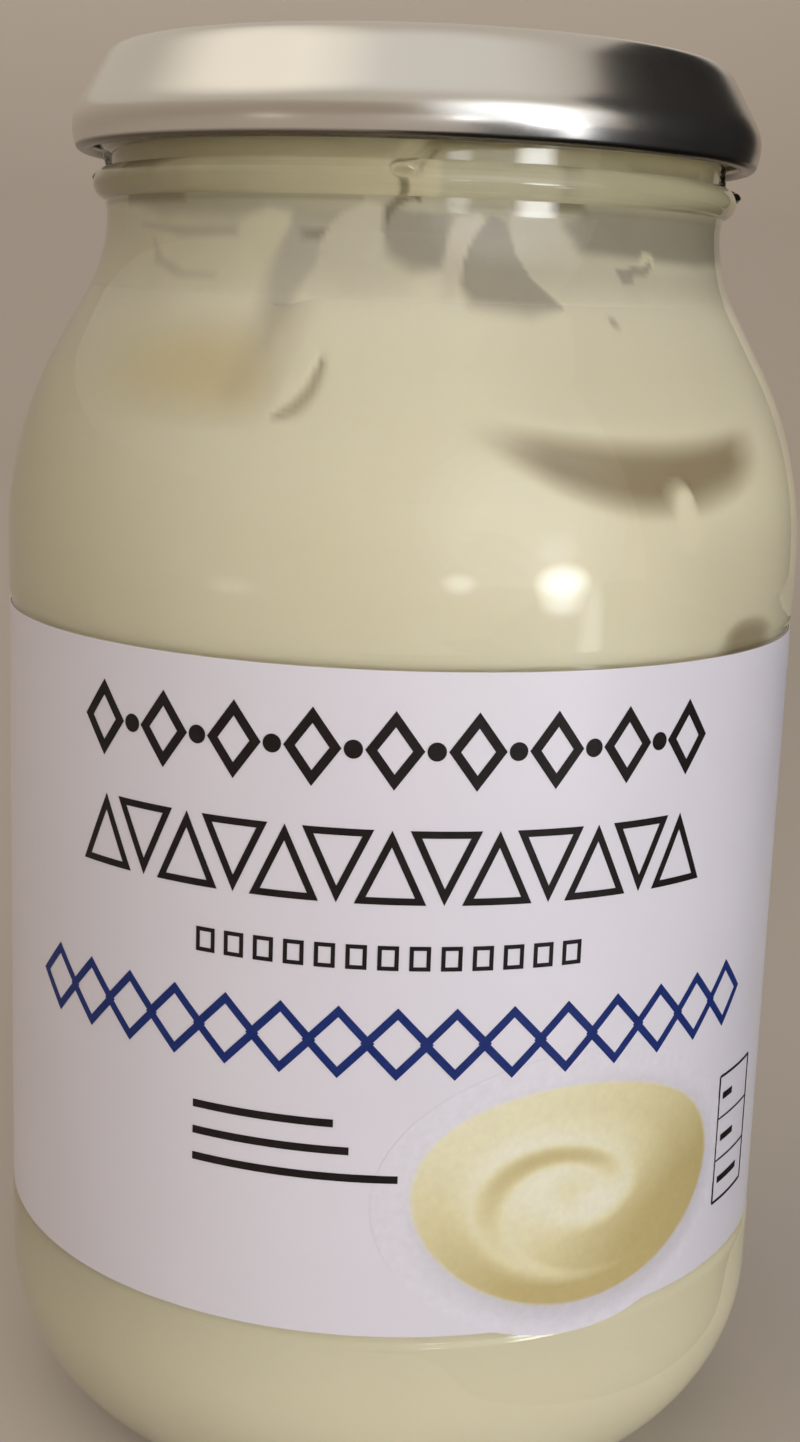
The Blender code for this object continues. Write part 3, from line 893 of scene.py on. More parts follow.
PALE = (0.77, 0.70, 0.56)
MILKY = (0.87, 0.80, 0.60)
# painted shade: the dim hollow seen through gaps in the smears
SHADE_GREY = (0.44, 0.39, 0.31)
DULL = (0.39, 0.345, 0.27)
BROWN = (0.19, 0.15, 0.07)
PATCHES = (
    # the milky film on the left
    Patch(
        (
            (-85, 129, 3), (-58, 127.4, 3), (-48, 125.4, 2.4), (-31, 124.9, 2), (-24.5, 126.3, 1.4),
            (-20.4, 126.0, 1.4), (-19.8, 124.6, 1.4), (-23.6, 121, 2), (-24.4, 116, 3.5), (-60, 112, 4),
            (-85, 112, 4),
        ),
        MILKY,
    ),
    # a dull line below the bead, on the left
    Patch(
        ((-54, 124.6, 1.3), (-40, 124.5, 1.0), (-30, 124.6, 1.2), (-30, 123.6, 1.2), (-42, 123.5, 1.2)),
        DULL, 0.45,
    ),
    # a dull curl on the left
    Patch(
        (
            (-50, 123.4, 1), (-46, 121.4, 0.7), (-40, 120.2, 0.7), (-33, 120, 1), (-33, 119.4, 1),
            (-41, 119.4, 0.8), (-48, 120.8, 0.9),
        ),
        DULL, 0.35,
    ),
    # the channel between the left film and the middle streak, in painted shade as a shadowed valley
    Patch(
        (
            (-19.6, 125.4, 1.2), (-13.6, 125, 0.6), (-15.2, 122.4, 0.6), (-15.4, 120.6, 1.4),
            (-17.4, 118.5, 2), (-19.5, 113, 3), (-23, 113, 3.5), (-23.2, 120, 2.4),
        ),
        (0.61, 0.555, 0.455), covers=True,
    ),
    # the dark spot at the channel's top
    Patch(
        ((-18.4, 124.4, 1.2), (-13.7, 124.5, 0.4), (-15.4, 123.4, 0.5), (-18, 123.5, 1.2)),
        (0.30, 0.25, 0.17), 0.7,
    ),
    # the middle streak
    Patch(
        (
            (-15.3, 122.7, 0.35), (-14.5, 123.5, 0.35), (-13.7, 124.8, 0.5), (-11.5, 126.0, 0.7),
            (-7.5, 127.1, 0.8), (-4.9, 126.8, 0.5), (-4.7, 124.5, 0.4), (-4.6, 123, 1), (-2, 121.4, 2),
            (0, 119, 3), (-8, 114, 4), (-17, 116, 3), (-16.3, 120, 1.2), (-13.2, 122.0, 0.35),
        ),
        PALE,
    ),
    # the gap to the right of it, in painted shade for the dim hollow seen through it
    Patch(
        (
            (-4.7, 126.9, 0.5), (0, 126.2, 1.2), (5.8, 126.2, 0.8), (5.4, 124.5, 0.4), (5.0, 122.5, 0.5),
            (4.6, 121.2, 1.5), (0, 120.8, 2.5), (-3.8, 122.2, 2), (-4.6, 124, 0.5),
        ),
        SHADE_GREY,
    ),
    # the thin tongue
    Patch(
        (
            (5.3, 122.5, 0.35), (6.1, 124.9, 0.3), (7.3, 126.1, 0.4), (10.8, 126.4, 0.4),
            (11.4, 125.6, 0.3), (9.8, 124.4, 0.3), (8.6, 123, 0.3), (7.9, 121.5, 0.35),
            (7.5, 119.9, 0.7), (7.2, 117, 2), (4, 117, 2),
        ),
        (0.76, 0.68, 0.56),
    ),
    # the gap to the right of the tongue, in painted shade for the dim hollow seen through it
    Patch(
        (
            (11.5, 125.4, 0.3), (12.5, 126.2, 0.6), (15.0, 125.6, 0.3), (16.6, 122.8, 0.3),
            (19.4, 120.4, 0.3), (22, 119, 0.35), (24.2, 117.8, 0.8), (18, 117.2, 2.4), (9, 117.9, 2.4),
            (7.5, 119.8, 0.7), (8, 121.6, 0.3), (9, 123.2, 0.3),
        ),
        SHADE_GREY, covers=True,
    ),
    # the wide streak on the right
    Patch(
        (
            (15.3, 127, 0.4), (24.5, 126.8, 1.2), (25.2, 124.6, 1.6), (28, 122.7, 1.8), (36, 122.0, 1.6),
            (48, 121.6, 2), (62, 121.8, 2.5), (85, 122, 3), (85, 112, 4), (26, 114, 4),
            (24.4, 117.7, 0.6), (22, 118.9, 0.35), (19.4, 120.3, 0.3), (16.7, 122.7, 0.3),
        ),
        (0.71, 0.645, 0.52),
    ),
    # the dull band below the bead, on the right
    Patch(
        (
            (25.6, 125.5, 1.4), (30, 127.4, 1), (60, 127.6, 1.5), (80, 127, 3), (80, 123, 2),
            (58, 122.3, 1.5), (40, 122.8, 1.2), (28.5, 123.2, 1.5),
        ),
        DULL,
    ),
    # a milky fleck
    Patch(
        ((40.4, 122.3, 0.5), (42, 123.5, 0.5), (44.4, 123.2, 0.5), (44.4, 122.2, 0.5)),
        MILKY, 0.8,
    ),
    # a squiggle of painted shade
    Patch(
        (
            (35.2, 121.7, 0.4), (37.3, 121.6, 0.4), (38.8, 122.0, 0.3), (41.5, 121.9, 0.3),
            (43.8, 122.8, 0.4), (43.2, 121.7, 0.3), (41.6, 121.1, 0.4), (39.2, 121.2, 0.3),
            (38.4, 120.3, 0.4), (36.2, 120.2, 0.5),
        ),
        SHADE_GREY,
    ),
    # the shade on the bead, on the right
    Patch(
        ((4, 131.4, 1.2), (74, 131.6, 1.5), (74, 127.4, 1.5), (26, 127.2, 1.2), (4, 127.6, 1)),
        (0.47, 0.42, 0.29), 0.6,
    ),
    # the brown marks at the thread's end
    Patch(
        ((-3.0, 129.5, 0.5), (-1.4, 129.3, 0.4), (1.3, 127.6, 0.3), (0.5, 127.0, 0.3)),
        BROWN, 0.9,
    ),
    Patch(
        ((0.8, 127.8, 0.4), (-2.8, 127.7, 0.6), (-4.6, 126.5, 0.7), (-4.8, 124.4, 0.5), (-3.2, 126.4, 0.6)),
        BROWN, 0.8,
    ),
    Patch(
        ((-0.4, 129.5, 0.5), (2.4, 132, 0.6), (3.8, 132, 0.6), (0.8, 129.5, 0.5)),
        BROWN, 0.55,
    ),
    # a brown spot on the bead, on the right
    Patch(
        ((22.5, 128.4, 1), (25, 129.0, 1.2), (28, 128.7, 1.4), (29.5, 126.9, 1), (22.5, 126.9, 0.8)),
        BROWN, 0.8,
    ),
    # a brown spot on the bead, on the left
    Patch(
        ((-60, 128.5, 1.2), (-50, 128.8, 1.4), (-42, 127.9, 1.4), (-42, 127, 1), (-60, 127, 1)),
        BROWN, 0.75,
    ),
    # a faint brown line above the bead
    Patch(
        ((38, 131.4, 1), (60, 131.6, 1), (60, 130.4, 1), (40, 130.4, 1)),
        BROWN, 0.3,
    ),
    # painted shade: the dark line below the bead, on the left
    Patch(
        ((-80, 127.7, 0.5), (-8, 127.7, 0.5), (-8, 127.1, 0.5), (-80, 127.1, 0.5)),
        (0.33, 0.28, 0.19), 0.5,
    ),
    # painted shade: the dark line below the bead, on the right
    Patch(
        ((6, 127.3, 0.5), (80, 127.3, 0.5), (80, 126.8, 0.5), (6, 126.8, 0.5)),
        (0.33, 0.28, 0.19), 0.45,
    ),
)


@dataclass
class Smears:
    """The mayonnaise on the neck's inner face, left by spoons and by turning the jar over."""

    shape: JarShape = field(default_factory=JarShape)
    finish: SmearedCream = field(default_factory=SmearedCream)
    around: int = 480
    into_wall: float = 0.16 * MM
    sheet: float = 0.1 * MM
    low: float = 117.2 * MM
    emerges: float = 118.3 * MM
    dive: float = 0.45 * MM
    bend: float = 1.075
    fades: float = 110.0 * MM
    stains_from: float = 112.0 * MM
    step: float = 0.36 * MM
    filled: float = 121.5 * MM
    wipe_pitch: float = 0.5 * MM
    wipe_start: float = 123.0 * MM
    wipe_rise: float = 2.0 * MM
    wipe_depth: float = 0.08
    stain_fade: float = 4.5 * MM
    fill_fade: float = 5.0 * MM
    cover_fade: float = 3.0 * MM
    body: Colour = (0.90, 0.83, 0.66)
    ground: tuple[tuple[float, Colour], ...] = (
        (119.0, (0.90, 0.83, 0.66)),
        (121.5, (0.78, 0.72, 0.57)),
        (123.5, (0.64, 0.58, 0.46)),
        (126.5, (0.57, 0.52, 0.38)),
        (129.0, (0.64, 0.565, 0.36)),
        (131.0, (0.64, 0.55, 0.32)),
        (134.0, (0.52, 0.45, 0.26)),
    )

    def paint(self, azimuth: np.ndarray, height: np.ndarray) -> tuple[np.ndarray, np.ndarray]:
        """Works out the smears' colours and how far they hold on the filling below them.

        Args:
            azimuth: The places' azimuths.
            height: The places' heights.

        Returns:
            Three columns of colour, and each place's share.
        """
        degree = math.radians(1) * self.shape.neck_radius
        levels = np.array([level * MM for level, _ in self.ground])
        shades = np.array([shade for _, shade in self.ground])
        colour = np.stack([np.interp(height, levels, shades[:, c]) for c in range(3)], 1)
        wipe = np.sin(height / self.wipe_pitch + 1.5 * np.sin(np.radians(2 * azimuth)))
        wipe = wipe * smooth((height - self.wipe_start) / self.wipe_rise)
        wipe = wipe * np.cos(np.radians(5 * azimuth + 30))
        colour = colour * (1 + self.wipe_depth * wipe[:, None])
        stained = smooth((height - self.stains_from) / self.stain_fade)
        full = smooth((self.filled - height) / self.fill_fade)
        for side in (azimuth, 180 - azimuth):
            for patch in PATCHES:
                share = patch.share(apart(side, 0) / self.bend, height, degree)
                target = np.array(patch.colour)
                if not patch.covers:
                    target = target + (np.array(self.body) - target) * full[:, None]
                else:
                    covered = share * smooth((height - self.fades) / self.cover_fade)
                    stained = np.maximum(stained, covered)
                colour = colour + (target - colour) * share[:, None]
        return colour, stained

    def build(self) -> list[bpy.types.Object]:
        """Makes the smears as one thin sheet just inside the wall's inner face."""
        spread = self.shape.smears_top - self.low
        rows = round(spread / self.step)
        heights = [self.low + spread * i / rows for i in range(rows + 1)]
        outline = []
        for z in heights:
            dive = self.dive * (1 - smooth((z - self.low) / (self.emerges - self.low)))
            outline.append((float(self.shape.inner_radius(z)) + self.into_wall - dive, z))
        film = Bench.turned("smears", outline, self.around)
        Bench.apply(film, "SOLIDIFY", thickness=self.sheet, offset=-1.0)
        places = Bench.points(film)
        azimuth = np.degrees(np.arctan2(places[:, 0], -places[:, 1]))
        colour, _ = self.paint(azimuth, places[:, 2])
        Bench.store(film, self.finish.layer, colour)
        film.data.materials.append(self.finish.build())
        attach(film, "root")
        return [film]


@dataclass
class Filling:
    """The mayonnaise: it fills the glass up to an uneven edge and a spooned-out hollow."""

    shape: JarShape = field(default_factory=JarShape)
    finish: Cream = field(default_factory=Cream)
    smears: Smears = field(default_factory=Smears)
    around: int = 500
    into_wall: float = 0.08 * MM
    shoulder: float = 119.0 * MM
    hollow: float = 9.5 * MM
    hollow_reach: float = 18.0 * MM
    surface_drop: float = 2.0 * MM
    surface_rings: int = 34
    ripple: float = 1.2 * MM
    smear_thickness: float = 1.6 * MM
    dents_start: float = 84.0 * MM
    stretch_start: float = 112.0 * MM
    bend: float = 1.05
    row: float = 0.42 * MM
    plain_rows: int = 12
    furrow_pitch: float = 2.4 * MM
    furrow_start: float = 4.0 * MM
    streaks: tuple[tuple[float, float, float], ...] = (
        (-44, 17, 4.2 * MM),
        (-9, 9, 6.0 * MM),
        (9, 7, 4.6 * MM),
        (18, 8, -2.4 * MM),
        (32, 11, 6.6 * MM),
        (62, 16, 2.6 * MM),
        (104, 14, 5.0 * MM),
        (150, 17, 3.0 * MM),
        (-96, 15, 4.6 * MM),
        (-140, 14, 3.4 * MM),
    )

    def edge(self, azimuth: np.ndarray) -> np.ndarray:
        """Gives the height to which the filling clings to the glass."""
        height = np.full(np.shape(azimuth), self.shoulder)
        for middle, half_width, rise in self.streaks:
            height = height + rise * np.exp(-((apart(azimuth, middle) / half_width) ** 2))
        fringe = np.sin(np.radians(azimuth * 11 + 30)) * 0.25 + np.sin(np.radians(azimuth * 23)) * 0.15
        return height + fringe * MM

    def outline(self) -> list[Point2]:
        """Gives the level filling's outline, from the middle of its floor to that of its top."""
        centre = self.shape.heel_centre()
        radius = self.shape.heel_radius - self.shape.wall + self.into_wall
        lift = self.shape.base_thickness - self.into_wall
        floor = [
            (0, self.shape.punt_rise + lift),
            (self.shape.punt_radius, self.shape.punt_edge_rise + lift),
        ]
        heel = arc((centre[0], centre[1] + self.shape.floor_lift), radius, -90, 0, 18)
        foot = heel[-1][1]
        plain = self.plain_rows
        levels = [foot + (self.dents_start - foot) * i / plain for i in range(1, plain + 1)]
        dented = self.shoulder - self.dents_start
        rows = round(dented / self.row)
        levels += [self.dents_start + dented * i / rows for i in range(1, rows + 1)]
        side = [(float(self.shape.inner_radius(z)) + self.into_wall, z) for z in levels]
        rim = side[-1][0]
        rings = self.surface_rings
        inwards = [rim * (1 - (i / rings) ** 1.5) for i in range(1, rings + 1)]
        return divided(floor, 4 * MM) + heel[1:] + side + [(r, self.shoulder) for r in inwards]

    def set_back(self, azimuth: np.ndarray, height: np.ndarray) -> tuple[np.ndarray, np.ndarray]:
        """Finds where the filling has come off the glass.

        Args:
            azimuth: The places' azimuths.
            height: The places' heights.

        Returns:
            How deep the filling stands back, and its painted shade there as three columns.
        """
        depth = np.zeros(len(azimuth))
        tone = np.zeros((len(azimuth), 3))
        degree = math.radians(1) * self.shape.body_radius * 0.9
        azimuth = azimuth / self.bend
        for pocket in POCKETS:
            share = pocket.share(azimuth, height)
            depth = np.maximum(depth, pocket.depth * share)
            tone = np.maximum(tone, share[:, None] * np.array(pocket.tone))
        for trough in TROUGHS:
            share = trough.share(azimuth, height, degree)
            depth = np.maximum(depth, trough.depth * share)
            tone = np.maximum(tone, share[:, None] * np.array(trough.tone))
        for lump in LUMPS:
            share = lump.share(azimuth, height, degree)
            depth = depth * (1 - share)
            tone = tone * (1 - share[:, None])
        return depth, tone

    def settle(self, places: np.ndarray) -> tuple[np.ndarray, np.ndarray]:
        """Dents the wall of the level filling and makes its top uneven and hollow.

        Args:
            places: The vertices of the level filling.

        Returns:
            The settled vertices and their painted shade.
        """
        radius = np.hypot(places[:, 0], places[:, 1])
        azimuth = np.degrees(np.arctan2(places[:, 0], -places[:, 1]))
        height = places[:, 2].copy()
        wall = float(self.shape.inner_radius(self.shoulder)) + self.into_wall
        edge = self.edge(azimuth)
        low = height <= self.dents_start + WELD
        on_wall = ~low & ((height < self.shoulder - WELD) | (radius > wall - WELD))
        on_top = ~low & ~on_wall

        share = np.maximum(0, height - self.stretch_start) / (self.shoulder - self.stretch_start)
        raised = height + share * (edge - self.shoulder)
        depth, tone = self.set_back(azimuth, np.where(on_wall, raised, edge))
        wall_radius = self.shape.inner_radius(raised) + self.into_wall - depth

        inward = np.maximum(0, wall - radius)
        climbs = np.exp(-((inward / self.smear_thickness) ** 2) / 2)
        bulk = self.shoulder - self.surface_drop * (1 - climbs)
        bulk = bulk - self.hollow * smooth(inward / self.hollow_reach)
        ripple = np.sin(np.radians(3 * azimuth + 40)) * np.sin(np.pi * radius / wall)
        furrow = 0.35 * np.sin(radius / self.furrow_pitch + np.radians(2 * azimuth))
        furrow = furrow * smooth(inward / self.furrow_start)
        top = bulk + self.ripple * (ripple + furrow) + (edge - bulk) * climbs
        edge_radius = self.shape.inner_radius(edge) + self.into_wall - depth
        top_radius = radius * edge_radius / wall

        new_radius = np.where(on_wall, wall_radius, np.where(on_top, top_radius, radius))
        new_height = np.where(on_wall, raised, np.where(on_top, top, height))
        angle = np.radians(azimuth)
        settled = np.stack([new_radius * np.sin(angle), -new_radius * np.cos(angle), new_height], 1)
        tone[low] = 0
        tone[on_top] *= climbs[on_top][:, None]
        return settled, tone

    def stain(self, places: np.ndarray) -> np.ndarray:
        """Carries the smears' colours on over the filling's upper part, as colours and shares."""
        stain = np.zeros((len(places), 4))
        upper = places[:, 2] > self.smears.fades
        azimuth = np.degrees(np.arctan2(places[upper, 0], -places[upper, 1]))
        colour, share = self.smears.paint(azimuth, places[upper, 2])
        stain[upper] = np.column_stack([colour, share])
        return stain

    def build(self) -> list[bpy.types.Object]:
        """Makes the filling."""
        cream = Bench.turned("cream", self.outline(), self.around)
        places, tone = self.settle(Bench.points(cream))
        Bench.move(cream, places)
        Bench.store(cream, self.finish.painted_shade_layer, tone)
        Bench.store(cream, self.finish.stain_layer, self.stain(places))
        cream.data.materials.append(self.finish.build())
        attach(cream, "root")
        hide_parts("mayonnaise")
        return [cream]


@dataclass
class TwistOffLid:
    """The pressed tin lid: button, rim channel, sloping side, band, rolled edge and lugs."""

    finish: SatinTin = field(default_factory=SatinTin)
    around: int = 240
    radius: float = 34.5 * MM
    bottom: float = 132.0 * MM
    rim_top: float = 141.95 * MM
    sheet: float = 0.35 * MM
    curl_radius: float = 0.9 * MM
    band_top: float = 135.2 * MM
    band_middle: float = 134.0 * MM
    band_lean: float = 14.0
    crown_radius: float = 31.4 * MM
    crown_height: float = 140.9 * MM
    channel: float = 29.4 * MM
    panel_edge: float = 26.3 * MM
    panel: float = 140.9 * MM
    button: float = 9.0 * MM
    button_rise: float = 0.5 * MM
    lugs: int = 4
    lug_first: float = 62.0
    lug_size: tuple[float, float, float] = (8.0 * MM, 1.6 * MM, 1.1 * MM)
    lug_radius: float = 32.5 * MM

    def outline(self) -> list[Point2]:
        """Gives the outer face of the sheet, from the middle of the top round the rolled edge."""
        lean = math.radians(self.band_lean)
        inset = (self.band_middle - self.bottom - self.curl_radius) * math.tan(lean)
        rolled = (self.radius - self.curl_radius - inset, self.bottom + self.curl_radius)
        foot = rolled[0] + self.curl_radius * math.cos(lean), rolled[1] - self.curl_radius * math.sin(lean)
        top = filleted(
            [
                (0, self.panel + self.button_rise, 0),
                (self.button - 2.5 * MM, self.panel + self.button_rise - 0.1 * MM, 1.5 * MM),
                (self.button, self.panel, 0.8 * MM),
                (self.button + 1.5 * MM, self.panel - 0.1 * MM, 0.6 * MM),
                (self.button + 3.0 * MM, self.panel, 0.8 * MM),
                (self.panel_edge - 1.2 * MM, self.panel, 0.8 * MM),
                (self.panel_edge, self.panel + 0.25 * MM, 0.6 * MM),
                (self.channel - 1.0 * MM, self.rim_top, 1.2 * MM),
                (self.channel + 1.0 * MM, self.rim_top, 1.2 * MM),
                (self.crown_radius, self.crown_height, 0.9 * MM),
                (self.radius - 0.1 * MM, self.band_top + 0.45 * MM, 1.3 * MM),
                (self.radius, self.band_middle, 1.0 * MM),
                (*foot, 0),
            ]
        )
        curl = arc(rolled, self.curl_radius, -self.band_lean, -250, 18)
        return divided(top, 1.2 * MM) + curl[1:]

    def lug(self, azimuth: float) -> bpy.types.Object:
        """Makes one lug: a rounded tongue pressed inwards from the rolled edge."""
        Bench.clear_selection()
        bpy.ops.mesh.primitive_cube_add(size=1, location=(0, 0, 0))
        made = Bench.name("lug")
        Bench.edit()
        bpy.ops.transform.resize(value=self.lug_size)
        bpy.ops.mesh.subdivide(number_cuts=2)
        bpy.ops.mesh.select_all(action="SELECT")
        bpy.ops.mesh.bevel(offset=0.22 * MM, segments=2, affect="EDGES")
        Bench.leave()
        made.location = (
            self.lug_radius * math.sin(math.radians(azimuth)),
            -self.lug_radius * math.cos(math.radians(azimuth)),
            self.bottom + self.curl_radius,
        )
        made.rotation_euler.z = math.radians(azimuth)
        Bench.settle(made)
        return made

    def build(self) -> list[bpy.types.Object]:
        """Makes the lid with its lugs."""
        lid = Bench.turned("tin_lid", self.outline(), self.around)
        if lid.data.polygons[0].normal.z < 0 and lid.data.polygons[0].center.z > self.crown_height:
            Bench.edit()
            bpy.ops.mesh.flip_normals()
            Bench.leave()
        Bench.apply(lid, "SOLIDIFY", thickness=self.sheet, offset=-1.0)
        lugs = [self.lug(self.lug_first + 360 / self.lugs * k) for k in range(self.lugs)]
        lid = Bench.join("tin_lid", [lid] + lugs)
        bpy.ops.object.shade_smooth_by_angle(angle=math.radians(50))
        lid.data.materials.append(self.finish.build())
        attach(lid, "root")
        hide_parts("lid")
        return [lid]


class Motif(Enum):
    """The plain figures that the label's borders are drawn with."""

    DIAMOND = "diamond"
    SQUARE = "square"
    RISING = "rising triangle"
    HANGING = "hanging triangle"
    DOT = "dot"


@dataclass(frozen=True)
class Border:
    """A row of evenly spaced figures across the front of the label."""

    motifs: tuple[Motif, ...]
    count: int
    first: float
    last: float
    bottom: float
    top: float
    width: float
    stroke: float


@dataclass
class WrapLabel:
    """The paper label round the jar, with its printed borders, rules, box and cream swirl."""

    paper: LabelPaper = field(default_factory=LabelPaper)
    charcoal: Ink = Ink("charcoal_ink", (0.011, 0.008, 0.008), (0.018, 0.014, 0.014))
    blue: Ink = Ink("blue_ink", (0.010, 0.024, 0.15), (0.016, 0.034, 0.18))
    picture: PictureInk = field(default_factory=PictureInk)
    radius: float = 40.66 * MM
    sheet: float = 0.12 * MM
    ink_height: float = 0.02 * MM
    ink_sheet: float = 0.03 * MM
    bottom: float = 24.6 * MM
    top: float = 87.4 * MM
    overlap: float = 7.0 * MM
    seam_lift: float = 0.05 * MM
    borders: tuple[Border, ...] = (
        Border((Motif.DIAMOND, Motif.DOT), 17, -41.0, 41.0, 76.8 * MM, 83.9 * MM, 5.2 * MM, 0.85 * MM),
        Border((Motif.RISING, Motif.HANGING), 13, -40.5, 40.5, 66.4 * MM, 73.2 * MM, 6.4 * MM, 0.65 * MM),
        Border((Motif.SQUARE,), 13, -24.0, 24.0, 60.3 * MM, 62.6 * MM, 1.9 * MM, 0.38 * MM),
    )
    blue_border: Border = Border(
        (Motif.DIAMOND,), 15, -51.0, 54.0, 49.9 * MM, 56.8 * MM, 6.6 * MM, 0.75 * MM
    )
    dot_size: float = 1.7 * MM
    rules: tuple[tuple[float, float], ...] = ((-6.3, 45.5 * MM), (-4.2, 42.9 * MM), (2.2, 40.3 * MM))
    rules_start: float = -25.5
    rule_width: float = 0.75 * MM
    table_line: float = 0.28 * MM
    entry_width: float = 0.7 * MM
    box: Box = (55.0, 66.0, 30.7 * MM, 44.3 * MM)
    box_rows: int = 3
    side_table: Box = (84.0, 128.0, 34.0 * MM, 78.0 * MM)
    side_rows: int = 9
    back_rules: int = 8
    back_start: float = 136.0
    back_reach: Point2 = (30.0, 6.0)
    back_top: float = 76.0 * MM
    back_pitch: float = 4.2 * MM

    def along(self, azimuth: float) -> float:
        """Gives the length along the paper from the front to an azimuth."""
        return math.radians(azimuth) * self.radius

    def wrap(self, piece: bpy.types.Object, lift: Callable[[np.ndarray], np.ndarray] | None = None) -> None:
        """Bends a flat drawing round the jar.

        Args:
            piece: The drawing, x along the paper, y up the jar and z out of the paper.
            lift: Gives how far the paper stands out at a length along it.
        """
        flat = Bench.points(piece)
        radius = self.radius + flat[:, 2]
        if lift is not None:
            radius = radius + lift(flat[:, 0])
        angle = flat[:, 0] / self.radius
        Bench.move(piece, np.stack([radius * np.sin(angle), -radius * np.cos(angle), flat[:, 1]], 1))

    def thicken(self, piece: bpy.types.Object, thickness: float, from_height: float) -> None:
        """Gives a flat drawing a thickness and lifts it off the paper's inner face."""
        Bench.apply(piece, "SOLIDIFY", thickness=thickness, offset=1.0)
        places = Bench.points(piece)
        places[:, 2] += from_height - places[:, 2].min()
        Bench.move(piece, places)

    def flat_grid(self, x0: float, x1: float, y0: float, y1: float, nx: int, ny: int) -> bpy.types.Object:
        """Makes a flat rectangle of the drawing, divided for bending."""
        Bench.clear_selection()
        bpy.ops.mesh.primitive_grid_add(x_subdivisions=nx, y_subdivisions=ny, size=1, location=(0, 0, 0))
        made = bpy.context.object
        Bench.edit()
        bpy.ops.transform.resize(value=(x1 - x0, y1 - y0, 1))
        bpy.ops.transform.translate(value=((x0 + x1) / 2, (y0 + y1) / 2, 0))
        Bench.leave()
        return made

    def motif(
        self, kind: Motif, x: float, y: float, width: float, height: float, stroke: float
    ) -> bpy.types.Object:
        """Draws one outlined figure, or a filled dot, centred on a place."""
        sides = {Motif.DIAMOND: 4, Motif.SQUARE: 4, Motif.RISING: 3, Motif.HANGING: 3, Motif.DOT: 20}[kind]
        turn = {Motif.SQUARE: 45.0, Motif.HANGING: 180.0}.get(kind, 0.0)
        Bench.clear_selection()
        bpy.ops.mesh.primitive_circle_add(vertices=sides, radius=1, fill_type="NGON", location=(0, 0, 0))
        made = bpy.context.object
        made.rotation_euler.z = math.radians(turn)
        Bench.settle(made)
        places = Bench.points(made)
        spread = np.ptp(places, axis=0)
        middle = (places.max(0) + places.min(0)) / 2
        places = (places - middle) * [width / spread[0], height / spread[1], 0] + [x, y, 0]
        Bench.move(made, places)
        if kind is not Motif.DOT:
            Bench.edit()
            bpy.ops.mesh.inset(thickness=stroke, depth=0)
            bpy.ops.mesh.delete(type="FACE")
            Bench.edit()
            bpy.ops.mesh.subdivide(number_cuts=4)
            Bench.leave()
        return made

    def border(self, plan: Border) -> list[bpy.types.Object]:
        """Draws a row of figures."""
        made = []
        middle = (plan.bottom + plan.top) / 2
        for k in range(plan.count):
            kind = plan.motifs[k % len(plan.motifs)]
            azimuth = plan.first + (plan.last - plan.first) * k / (plan.count - 1)
            width, height = plan.width, plan.top - plan.bottom
            if kind is Motif.DOT:
                width = height = self.dot_size
            made.append(self.motif(kind, self.along(azimuth), middle, width, height, plan.stroke))
        return made

    def rule(self, a0: float, a1: float, y: float, thickness: float) -> bpy.types.Object:
        """Draws a level line between two azimuths."""
        pieces = max(2, int(abs(a1 - a0) / 1.5))
        half = thickness / 2
        return self.flat_grid(self.along(a0), self.along(a1), y - half, y + half, pieces, 1)

    def upright(self, azimuth: float, y0: float, y1: float, thickness: float) -> bpy.types.Object:
        """Draws an upright line at an azimuth."""
        x = self.along(azimuth)
        return self.flat_grid(x - thickness / 2, x + thickness / 2, y0, y1, 1, 8)

    def table(self, a0: float, a1: float, y0: float, y1: float, rows: int) -> list[bpy.types.Object]:
        """Draws an outlined box with ruled rows and a short line in each."""
        made = [self.rule(a0, a1, y, self.table_line) for y in (y0, y1)]
        made += [self.upright(a, y0, y1, self.table_line) for a in (a0, a1)]
        step = (y1 - y0) / rows
        made += [self.rule(a0, a1, y0 + step * k, self.table_line * 0.7) for k in range(1, rows)]
        start = a0 + 1.2
        for k in range(rows):
            reach = 0.55 + 0.3 * math.sin(2.3 * k + 1)
            end = start + (a1 - a0 - 2.4) * reach
            made.append(self.rule(start, end, y0 + step * (k + 0.5), self.entry_width))
        return made

    def printed(self, title: str, drawing: list[bpy.types.Object], ink: Ink) -> bpy.types.Object:
        """Joins a drawing's figures, lays them on the paper and inks them."""
        made = Bench.join(title, drawing)
        self.thicken(made, self.ink_sheet, self.sheet + self.ink_height)
        self.wrap(made)
        made.data.materials.append(ink.build())
        return made

    def swirl(self) -> bpy.types.Object:
        """Draws the cream swirl: a lobed disc with a wound ridge, lit from the upper left."""
        centre = (self.along(27.5), 37.6 * MM)
        reach = (20.4 * MM, 14.2 * MM)
        Bench.clear_selection()
        bpy.ops.mesh.primitive_plane_add(size=MM, location=(0, 0, 0))
        made = Bench.name("cream_swirl_print")
        Bench.edit()
        bpy.ops.mesh.merge(type="CENTER")
        rings = 64
        for _ in range(rings):
            bpy.ops.mesh.extrude_vertices_move(TRANSFORM_OT_translate={"value": (1 / rings, 0, 0)})
        bpy.ops.mesh.select_all(action="SELECT")
        bpy.ops.mesh.spin(steps=200, angle=math.tau, center=(0, 0, 0), axis=(0, 0, 1))
        bpy.ops.mesh.select_all(action="SELECT")
        bpy.ops.mesh.remove_doubles(threshold=0.0001)
        bpy.ops.mesh.normals_make_consistent(inside=False)
        Bench.leave()
        unit = Bench.points(made)
        colours = self.swirl_colours(unit[:, 0], unit[:, 1])
        places = unit * [reach[0], reach[1], 0] + [centre[0], centre[1], 0]
        Bench.move(made, places)
        if made.data.polygons[0].normal.z < 0:
            Bench.edit()
            bpy.ops.mesh.flip_normals()
            Bench.leave()
        Bench.store(made, self.picture.layer, colours)
        self.thicken(made, self.ink_sheet, self.sheet + self.ink_height / 2)
        self.wrap(made)
        made.data.materials.append(self.picture.build())
        return made

